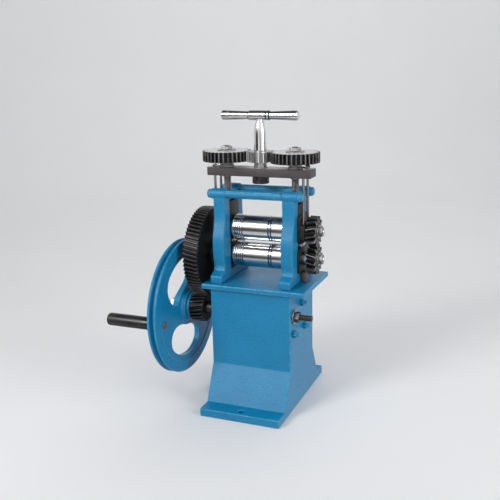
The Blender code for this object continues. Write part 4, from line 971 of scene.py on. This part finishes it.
def dress_rolls():
    """Both rolls, with the gears, washers and nuts on their ends."""
    near, far = DRIVE_NEAR - GAP, DRIVE_FAR
    lower_end = [(NECK_RADIUS, near), (DRIVE_SEAT, near), (DRIVE_SEAT, far), (SHAFT_RADIUS, far)]
    lower_end += [(SHAFT_RADIUS, LOWER_TIP), (SHAFT_RADIUS - EDGE, LOWER_TIP + TIP_EDGE)]
    upper_end = [(NECK_RADIUS, UPPER_TIP), (NECK_RADIUS - EDGE, UPPER_TIP + UPPER_TIP_EDGE)]
    first, step = -math.pi / 2, math.pi / ROLL_TEETH
    parts = washer_and_nut(ROLL_NUT, ROLL_THREAD + GAP, ROLL_GEAR_FAR)
    for word, height, end, turn, slant in (("lower", LOWER_Z, lower_end, first, ROLL_HELIX),
                                           ("upper", UPPER_Z, upper_end, first + step, -ROLL_HELIX)):
        place = (0, 0, height)
        profile, grooves = roll_profile(end)
        marks = row_marks(profile, grooves, FINE_SIDES)
        # The wire groove floors take the dark finish: painted shade.
        add(word + "_roll", along_x(turned(profile, FINE_SIDES)), (ROLL, GROOVE_SHADE), place, marks)
        shape, marks = gear(ROLL_TEETH, ROLL_GEAR_MODULE, SHAFT_BORE, ROLL_GEAR_FAR - ROLL_GEAR_NEAR,
                            turn, slant, LONG_TEETH, *ROLL_DISH)
        gear_shape = along_x(shape, (ROLL_GEAR_NEAR, 0, 0))
        # Tip lands and chamfers take the lighter grey: partly edge wear, partly a painted highlight.
        add(word + "_roll_pinion", gear_shape, (BLACK, GREY_STEEL_AND_TIP_HIGHLIGHT, FACE_X), place, marks)
        for kind, shape in zip(("washer", "nut"), parts):
            add(f"{word}_pinion_{kind}", along_x(shape), PLAIN_X, place)


def dress_drive():
    """Drive gear and crank pinion, slanted against each other, and the gear's nut."""
    width = DRIVE_FAR - DRIVE_NEAR
    turn = MESH_TURN + math.pi + math.pi / CRANK_TEETH
    drive = gear(DRIVE_TEETH, GEAR_MODULE, DRIVE_SEAT + GAP, width,
                 MESH_TURN, DRIVE_HELIX, SHORT_TEETH, *DRIVE_DISH)
    pinion = gear(CRANK_TEETH, GEAR_MODULE, SHAFT_BORE, width, turn, -DRIVE_HELIX)
    for node, (shape, marks), y, z in (("drive_gear", drive, 0, LOWER_Z),
                                       ("crank_pinion", pinion, CRANK_Y, CRANK_Z)):
        # Tip lands and chamfers take the dim lighter grey: partly edge wear, partly a painted highlight.
        add(node, along_x(shape, (-DRIVE_FAR, 0, 0)), (BLACK, DIM_TIP_HIGHLIGHT, BLACK), (0, y, z), marks)
    nut = together(*washer_and_nut(DRIVE_NUT, SHAFT_BORE, -DRIVE_FAR, -1, 0))
    add("drive_gear_nut", along_x(nut), PLAIN_X, (0, 0, LOWER_Z))


def dress_crank():
    """Crank shaft with threaded ends, its washer and nuts."""
    place = (0, CRANK_Y, CRANK_Z)
    gear_side, stand_side = GAP - DRIVE_NEAR, -STAND_SIDE - GAP
    profile = [(SHAFT_RADIUS, HUB_END), (SHAFT_RADIUS, gear_side), (NECK_RADIUS, gear_side)]
    profile += [(NECK_RADIUS, stand_side), (SHAFT_RADIUS, stand_side)]
    profile += [(SHAFT_RADIUS, STAND_SIDE - EDGE), (SHAFT_RADIUS - EDGE, STAND_SIDE)]
    threads = [thread(SHAFT_THREAD, SHAFT_PITCH, low, high) for low, high in SHAFT_THREAD_ENDS]
    add("crank_shaft", along_x(together(turned(profile), *threads)), DARK_X, place)
    bore = SHAFT_THREAD + GAP
    ring, nut = washer_and_nut(SHAFT_NUT, bore, STAND_SIDE)
    add("shaft_washer", along_x(ring), PLAIN_X, place)
    add("shaft_nut", along_x(nut), GREY_STEEL_AND_TIP_HIGHLIGHT, place)
    wheel_nut = together(*washer_and_nut(WHEEL_NUT, bore, HUB_END, -1, 0))
    add("wheel_nut", along_x(wheel_nut), PLAIN_X, place)


def wheel_window(angles, shares):
    """A window of the hand wheel, from shares of its angle and of its radial width."""
    first, last = (math.radians(angle) for angle in angles)
    points = []
    for along, outward in shares:
        angle = first + (last - first) * along
        radius = WINDOW_INNER + (WINDOW_OUTER - WINDOW_INNER) * outward
        points.append((radius * math.cos(angle), radius * math.sin(angle)))
    return smooth_loop(points, 6)


def dress_wheel():
    """The cast hand wheel: rounded lips and groove, web with windows, flared hub."""
    outer, inner = WHEEL_RADIUS, WHEEL_RADIUS - RIM_DEPTH
    middle, lip = (WHEEL_NEAR + WHEEL_FAR) / 2, RIM_LIP / 2
    profile = [(inner, WHEEL_FAR)] + arc((outer - lip, WHEEL_FAR + lip), (lip, lip), -90, 90, 6)
    profile += [(outer - RIM_GROOVE * 0.9, middle - 0.0008), (outer - RIM_GROOVE, middle)]
    profile += [(radius, 2 * middle - along) for radius, along in reversed(profile[:-1])]
    rim = turned(profile, RIM_SIDES, bored=True)
    windows = [wheel_window(*window) for window in zip(WINDOW_ANGLES, WINDOW_SHARES)]
    web = prism(circle(inner + WEB_LAP, RIM_SIDES), windows, WEB_FAR, WEB_NEAR)
    edge = BROAD_EDGE
    hub = [(HUB_RADIUS - edge, HUB_END), (HUB_RADIUS, HUB_END + edge)]
    hub += [(HUB_RADIUS, WEB_FAR - edge), (HUB_RADIUS + edge, WEB_FAR)]
    hub += arc((HUB_RADIUS + HUB_FLARE, WEB_NEAR + HUB_FLARE), (HUB_FLARE, HUB_FLARE), 270, 180, 4)
    hub += [(HUB_RADIUS - under, HUB_NEAR - behind) for under, behind in HUB_COLLAR]
    obj = solid("hand_wheel_skin", along_x(together(rim, web, turned(hub, FINE_SIDES))))
    cast(obj, WHEEL_VOXEL, 2)
    low, high = HUB_END - OVERRUN, HUB_NEAR + OVERRUN
    grip_axis = (0, HANDLE_Y - CRANK_Y, HANDLE_Z - CRANK_Z)
    carved(obj, along_x(peg(SPINDLE_RADIUS + GAP, low, high), grip_axis), along_x(peg(SHAFT_BORE, low, high)))
    dress(obj, "hand_wheel", [PAINT], (0, CRANK_Y, CRANK_Z))


def dress_handle():
    """Spindle riveted in the wheel, and the turned black grip."""
    place = (0, HANDLE_Y, HANDLE_Z)
    thin, wide, soft, slope = SPINDLE_RADIUS, SPINDLE_COLLAR, 0.0004, 0.00035
    far, near, rivet = WHEEL_FAR - SPINDLE_STEP, WEB_FAR - GAP, WEB_NEAR + GAP
    profile = [(thin - TIP_EDGE, SPINDLE_TIP - EDGE), (thin, SPINDLE_TIP), (thin, far), (wide - soft, far)]
    profile += [(wide, far + slope), (wide, near - slope), (wide - soft, near), (thin, near), (thin, rivet)]
    profile += arc((0.0002, rivet), SPINDLE_RIVET, 0, 90, 5)
    add("handle_spindle", along_x(turned(profile, HOLE_SIDES)), BROWN, place)
    bore, start = SPINDLE_RADIUS + GAP, far - GAP
    shell = [(bore, GRIP_END + GRIP_BOTTOM), (bore, start)]
    shell += [(radius, start - along) for radius, along in GRIP_SHOULDER]
    shell += arc((GRIP_RADIUS - GRIP_ROUND, GRIP_END + GRIP_ROUND), (GRIP_ROUND, -GRIP_ROUND), 0, 90, 7)
    shell.append((0.001, GRIP_END))
    add("handle_grip", along_x(turned(shell)), GRIP, place)


def dress_blocks():
    """Bearing blocks, spacers, props and the right shaft bearing with its studs' nuts."""
    for word in ("left", "right"):
        edged_copy(word + "_lower_chock", BLOCK, 0.0005)
        edged_copy(word + "_upper_chock", BLOCK, 0.0005)
        edged_copy(word + "_chock_spacer", PLAIN_Z, 0.0005)
        edged_copy(word + "_chock_prop", BROWN, 0.0006)
    edged_copy("right_shaft_bearing", PAINT, 0.0004)
    seat = STAND_SIDE + GAP
    nut = along_x(hex_nut(STUD_NUT_WIDTH, STUD_BORE, seat, seat + STUD_NUT_HEIGHT))
    for word, (y, z) in STUD_SHARES.items():
        add(word + "_stud_nut", nut, PAINT, (0, CRANK_Y + STUD_REACH * y, CRANK_Z + STUD_REACH * z))


def sleeve(radius, flared):
    """A sleeve from the plate's underside up to a gear, flared or straight over the plate."""
    bore, seat, top = radius + GAP, BRIDGE_SEAT, TOP_GEAR_LOW - GAP
    edge, sink = GAP, 0.0004
    profile = [(bore, GAP), (bore + SLEEVE_WALL, GAP), (bore + SLEEVE_WALL, seat)]
    if flared:
        foot = bore + SLEEVE_FOOT
        profile += [(foot - 0.0002, seat), (foot, seat + edge), (foot, seat + SLEEVE_LIP)]
        for k in range(1, 7):
            drawn = SLEEVE_DRAW * math.sin(math.pi / 2 * k / 6)
            profile.append((foot - drawn, seat + SLEEVE_LIP + (top - sink - seat - SLEEVE_LIP) * k / 6))
        profile.append((foot - SLEEVE_DRAW - edge, top))
    else:
        wall = bore + SLEEVE_STRAIGHT
        profile += [(wall, seat + edge), (wall, top - edge), (wall - edge, top)]
    return turned(profile + [(bore + sink, top), (bore, top - sink)], SIDES, bored=True)


def dress_bridge():
    """Bridge plate, sleeves and long lift bolts."""
    half_x, half_y = BRIDGE_HALF
    outline = rounded(rectangle(-half_x, half_x, -half_y, half_y), BRIDGE_ROUND)
    obj = solid("bridge_plate_skin", cushion(outline, 0, BRIDGE_THICKNESS, SOFT_EDGE, 3))
    bolts = {f"{side}_{end}": (x * LIFT_BOLT_X, y * LIFT_BOLT_Y)
             for side, x in (("left", -1), ("right", 1)) for end, y in (("front", -1), ("rear", 1))}
    sleeves = {"left": (-SCREW_X, SCREW_RADIUS, SATIN), "middle": (0, STEM_RADIUS, PLAIN_Z),
               "right": (SCREW_X, SCREW_RADIUS, SATIN)}
    holes = [(x, 0, radius + SLEEVE_WALL + 2 * GAP, HOLE_SIDES) for x, radius, _ in sleeves.values()]
    holes += [(x, y, LIFT_BOLT_RADIUS + GAP, SMALL_SIDES) for x, y in bolts.values()]
    cuts = [moved(peg(radius, -OVERRUN, BRIDGE_CUT_TOP, sides), (x, y, 0)) for x, y, radius, sides in holes]
    # Faces turned up take the lighter top finish: a ground face, partly a painted highlight.
    for face in carved(obj, *cuts).data.polygons:
        face.material_index = 1 if face.normal.z > 0.95 else 0
    dress(obj, "bridge_plate", [IRON, GROUND_TOP_AND_HIGHLIGHT], (0, 0, BRIDGE_LOW))
    for word, (x, radius, finish) in sleeves.items():
        add(word + "_sleeve", sleeve(radius, word != "middle"), finish, (x, 0, BRIDGE_LOW))

    dome_low = BRIDGE_SEAT + LIFT_HEAD_HEIGHT
    wide, tall = LIFT_DOME
    dome = [at_height(circle(wide * math.cos(a), HEX_SIDES), dome_low + tall * math.sin(a))
            for a in (0.0, 0.35, 0.7, 1.05, 1.35)]
    head = loft(hex_rings(LIFT_HEAD, BRIDGE_SEAT, dome_low) + dome)
    tip = UPPER_Z + LIFT_BOLT_SINK - BRIDGE_LOW
    rod = turned([(LIFT_BOLT_RADIUS, tip), (LIFT_BOLT_RADIUS, BRIDGE_SEAT + BROAD_EDGE)], ROD_SIDES)
    marks = [0] * len(head[1]) + [1] * len(rod[1])
    for word, (x, y) in bolts.items():
        add(word + "_lift_bolt", together(head, rod), (POLISHED, DARK_Z), (x, y, BRIDGE_LOW), marks)


def dress_screws():
    """Adjusting screws with their gears, washers and nuts."""
    radius, wide, edge = SCREW_RADIUS, SCREW_SHOULDER, GAP
    high = -GAP
    low = high - SCREW_SHOULDER_HEIGHT
    rod = [(radius, low), (wide - edge, low), (wide, low + edge), (wide, high - edge), (wide - edge, high)]
    rod += [(radius, high), (radius, SCREW_TOP), (0.0052, 0.0419), (0.0044, 0.0430)]
    screw = together(thread(radius, SCREW_PITCH, SCREW_LOW - BRIDGE_LOW, -0.0015), turned(rod))
    ring, nut = washer_and_nut(SCREW_NUT, radius + GAP, TOP_GEAR_HIGH)
    for side, word, phase in ((-1, "left", 0.0), (1, "right", math.pi / SCREW_TEETH)):
        place = (side * SCREW_X, 0, BRIDGE_LOW)
        add(word + "_screw", screw, DARK_Z, place)
        shape, marks = gear(SCREW_TEETH, GEAR_MODULE, radius + GAP, TOP_GEAR_WIDTH, phase)
        # Tip lands and chamfers take the lighter grey: partly edge wear, partly a painted highlight.
        add(word + "_screw_gear", moved(shape, (0, 0, TOP_GEAR_LOW)), (BLACK, GREY_STEEL_AND_TIP_HIGHLIGHT, FACE), place, marks)
        add(word + "_gear_washer", ring, PLAIN_Z, place)
        add(word + "_gear_nut", nut, PLAIN_Z, place)


def dress_t_handle():
    """Polished T-handle with its pinion and the round nut under the bridge plate."""
    place = (0, 0, BRIDGE_LOW)
    shoulder, bar = TOP_GEAR_HIGH + GAP, BAR_Z - BRIDGE_LOW
    rise = bar - BAR_SADDLE - shoulder
    radius, wide, bore = STEM_RADIUS, STEM_SHOULDER, STEM_RADIUS + GAP
    taper = [(r, shoulder + rise * share) for r, share in STEM_TAPER]
    stem = [(radius, ROUND_NUT_LOW - GAP), (radius, shoulder)]
    stem += [(wide - GAP, shoulder), (wide, shoulder + 0.0004)]
    stem += smooth_loop([(wide, shoulder + BROAD_EDGE)] + taper, 5, closed=False)
    stem.append((STEM_TAPER[-1][0], bar))
    half, waist, end, tip = BAR_MIDDLE, BAR_WAIST, BAR_RADIUS, BAR_HALF
    step = [(end - 0.0002, half), (waist, half), (waist, half + 0.0016)]
    ring = [(end - 0.0009, half - 0.0046), (end - 0.0009, half - 0.0030)]
    side = [(end, half - GAP), *step, (waist + 0.0001, half + 0.004), (end - 0.0002, tip - 0.011)]
    side += [(end - 0.0006, tip - 0.0108), (end - 0.0006, tip - 0.0102), (end, tip - 0.0098)]
    side += [(end, tip - 0.0014), (end - 0.0012, tip)]
    profile = mirrored(side) + [(end, half - 0.0048), *ring, (end, half - 0.0028)] + side
    # The bar's ring groove and steps take the dark finish: painted shade.
    dark = ring + step + mirrored(step)
    marks = [0] * len(turned(stem)[1]) + row_marks(profile, dark)
    shape = together(turned(stem), along_x(turned(profile), (0, 0, bar)))
    add("t_handle", shape, (POLISHED, GROOVE_SHADE), place, marks)
    shape, marks = gear(STEM_TEETH, GEAR_MODULE, bore, TOP_GEAR_WIDTH, 0.0)
    # Tip lands and chamfers take the polished finish: partly edge wear, partly a painted highlight.
    add("t_handle_pinion", moved(shape, (0, 0, TOP_GEAR_LOW)), (PLAIN_Z, POLISHED, PLAIN_Z), place, marks)
    outer, low, soft, slope = ROUND_NUT_RADIUS, ROUND_NUT_LOW, 0.00065, 0.0006
    nut = [(outer - soft, low), (outer, low + slope), (outer, -GAP - slope), (outer - soft, -GAP)]
    nut += [(bore, -GAP), (bore, low)]
    add("t_handle_nut", turned(nut, SIDES, bored=True), BLACK, place)


# Stage, lights and camera


def build_stage():
    """A pale floor that curves up all round into a backdrop."""
    sweep, floor, wall, near = 1.3, 1.9, 3.6, 0.5
    profile = [(0.001, 0.0), (near, 0.0)] + arc((floor, sweep), (sweep, sweep), -90, 0, 16)
    verts, faces = turned(profile + [(floor + sweep, wall)], FINE_SIDES)
    mesh = bpy.data.meshes.new("studio_sweep")
    mesh.from_pydata(verts, [], faces[:-1])
    mesh.shade_smooth()
    obj = bpy.data.objects.new("studio_sweep", mesh)
    bpy.context.scene.collection.objects.link(obj)
    paper = Finish("pale_paper", (0.80, 0.80, 0.805), 0.9)
    paper.set("Base Color", paper.blend(paper.noise(3, 2), (0.79, 0.79, 0.795), (0.82, 0.82, 0.825)))
    mesh.materials.append(paper.material)
    obj.visible_glossy = False


def area_light(name, place, target, size, watts, seen=True, spread=180):
    """A soft rectangular lamp that faces its target, with a grid that holds its light to a spread."""
    lamp = bpy.data.lights.new(name, "AREA")
    lamp.shape = "RECTANGLE"
    lamp.size, lamp.size_y = size
    lamp.energy = watts
    lamp.spread = math.radians(spread)
    obj = bpy.data.objects.new(name, lamp)
    obj.location = place
    obj.rotation_euler = (Vector(target) - Vector(place)).to_track_quat("-Z", "Y").to_euler()
    obj.visible_glossy = seen
    bpy.context.scene.collection.objects.link(obj)


def build_lights():
    """Soft studio light, with a banded surround that only reflections see."""
    aim = (0, 0, 0.22)
    area_light("key_left", (-0.70, -1.35, 1.10), aim, (0.65, 0.5), 4.9, True, 100)
    area_light("side_right", (1.55, -0.35, 0.75), aim, (0.9, 1.0), 3.9, True, 100)
    area_light("rear_top", (0.3, 1.20, 1.60), aim, (1.2, 0.6), 4, False)
    area_light("wall_wash", (-0.5, 1.9, 2.6), (-1.3, 3.2, 1.0), (2.0, 0.5), 22, False)
    world = bpy.data.worlds.new("studio")
    world.use_nodes = True
    tree = Nodes(world.node_tree)
    plain = tree.tree.nodes["Background"]
    plain.inputs["Color"].default_value = (0.95, 0.97, 1.0, 1)
    plain.inputs["Strength"].default_value = 0.55
    way = tree.node("ShaderNodeTexCoord").outputs["Generated"]
    yaw = math.radians(CAMERA_TURNS[0])
    front = tree.dot(way, (math.sin(yaw), -math.cos(yaw), 0))
    side = tree.dot(way, (math.cos(yaw), math.sin(yaw), 0))
    height = tree.node("ShaderNodeSeparateXYZ", {0: way}).outputs["Z"]
    ahead = tree.ramp(height, ((-1.0, 0.10), (-0.85, 0.16), (-0.75, 0.60), (-0.45, 0.55),
                               (-0.36, 0.06), (-0.02, 0.05), (0.10, 0.45), (0.20, 1.0),
                               (0.66, 1.0), (0.76, 0.08), (1.0, 0.06)))
    behind = tree.ramp(height, ((-1.0, 0.10), (-0.85, 0.45), (-0.05, 0.70), (0.02, 0.75), (0.50, 0.70),
                                (0.66, 0.55), (0.78, 0.08), (1.0, 0.06)))
    blended = tree.blend(tree.ranged(front, -0.15, 0.15), behind, ahead)
    away = tree.maths("ABSOLUTE", side)
    strip = tree.maths("MULTIPLY", tree.ranged(away, 0.12, 0.16), tree.ranged(away, 0.60, 0.56))
    strip = tree.maths("MULTIPLY", strip, tree.ranged(front, 0.35, 0.50))
    lit = tree.blend(strip, blended, (1, 1, 1))
    banded = tree.node("ShaderNodeBackground", {"Color": lit, "Strength": 1.1}).outputs[0]
    glossy = tree.node("ShaderNodeLightPath").outputs["Is Glossy Ray"]
    both = tree.node("ShaderNodeMixShader", {0: glossy, 1: plain.outputs[0], 2: banded}).outputs[0]
    tree.feed(tree.tree.nodes["World Output"].inputs["Surface"], both)
    bpy.context.scene.world = world


def build_camera():
    """The camera at the photograph's angle."""
    yaw, pitch, roll = (math.radians(angle) for angle in CAMERA_TURNS)
    ahead = Vector((-math.sin(yaw) * math.cos(pitch), math.cos(yaw) * math.cos(pitch), -math.sin(pitch)))
    right = Vector((math.cos(yaw), math.sin(yaw), 0))
    above = right.cross(ahead)
    turned_right = math.cos(roll) * right + math.sin(roll) * above
    turned_above = -math.sin(roll) * right + math.cos(roll) * above
    matrix = Matrix((turned_right, turned_above, -ahead)).transposed().to_4x4()
    matrix.translation = CAMERA_PLACE
    lens = bpy.data.cameras.new("camera")
    lens.sensor_width = SENSOR
    lens.lens = FOCAL / PICTURE * SENSOR
    lens.shift_x = -(CENTRE[0] - PICTURE / 2) / PICTURE
    lens.shift_y = (CENTRE[1] - PICTURE / 2) / PICTURE
    obj = bpy.data.objects.new("camera", lens)
    obj.matrix_world = matrix
    bpy.context.scene.collection.objects.link(obj)
    bpy.context.scene.camera = obj


def main():
    """Dress every piece of the mill and set the stage."""
    bpy.context.scene.view_settings.view_transform = "Standard"
    build_camera()
    dress_stand()
    dress_frames()
    dress_ties()
    dress_rolls()
    dress_drive()
    dress_crank()
    dress_wheel()
    dress_handle()
    dress_blocks()
    dress_bridge()
    dress_screws()
    dress_t_handle()
    for node, obj in frame["nodes"].items():
        obj.data.materials.clear()
        obj.data.materials.append(SLOT_FINISH[SLOT_OF[node]])
    build_stage()
    build_lights()


main()
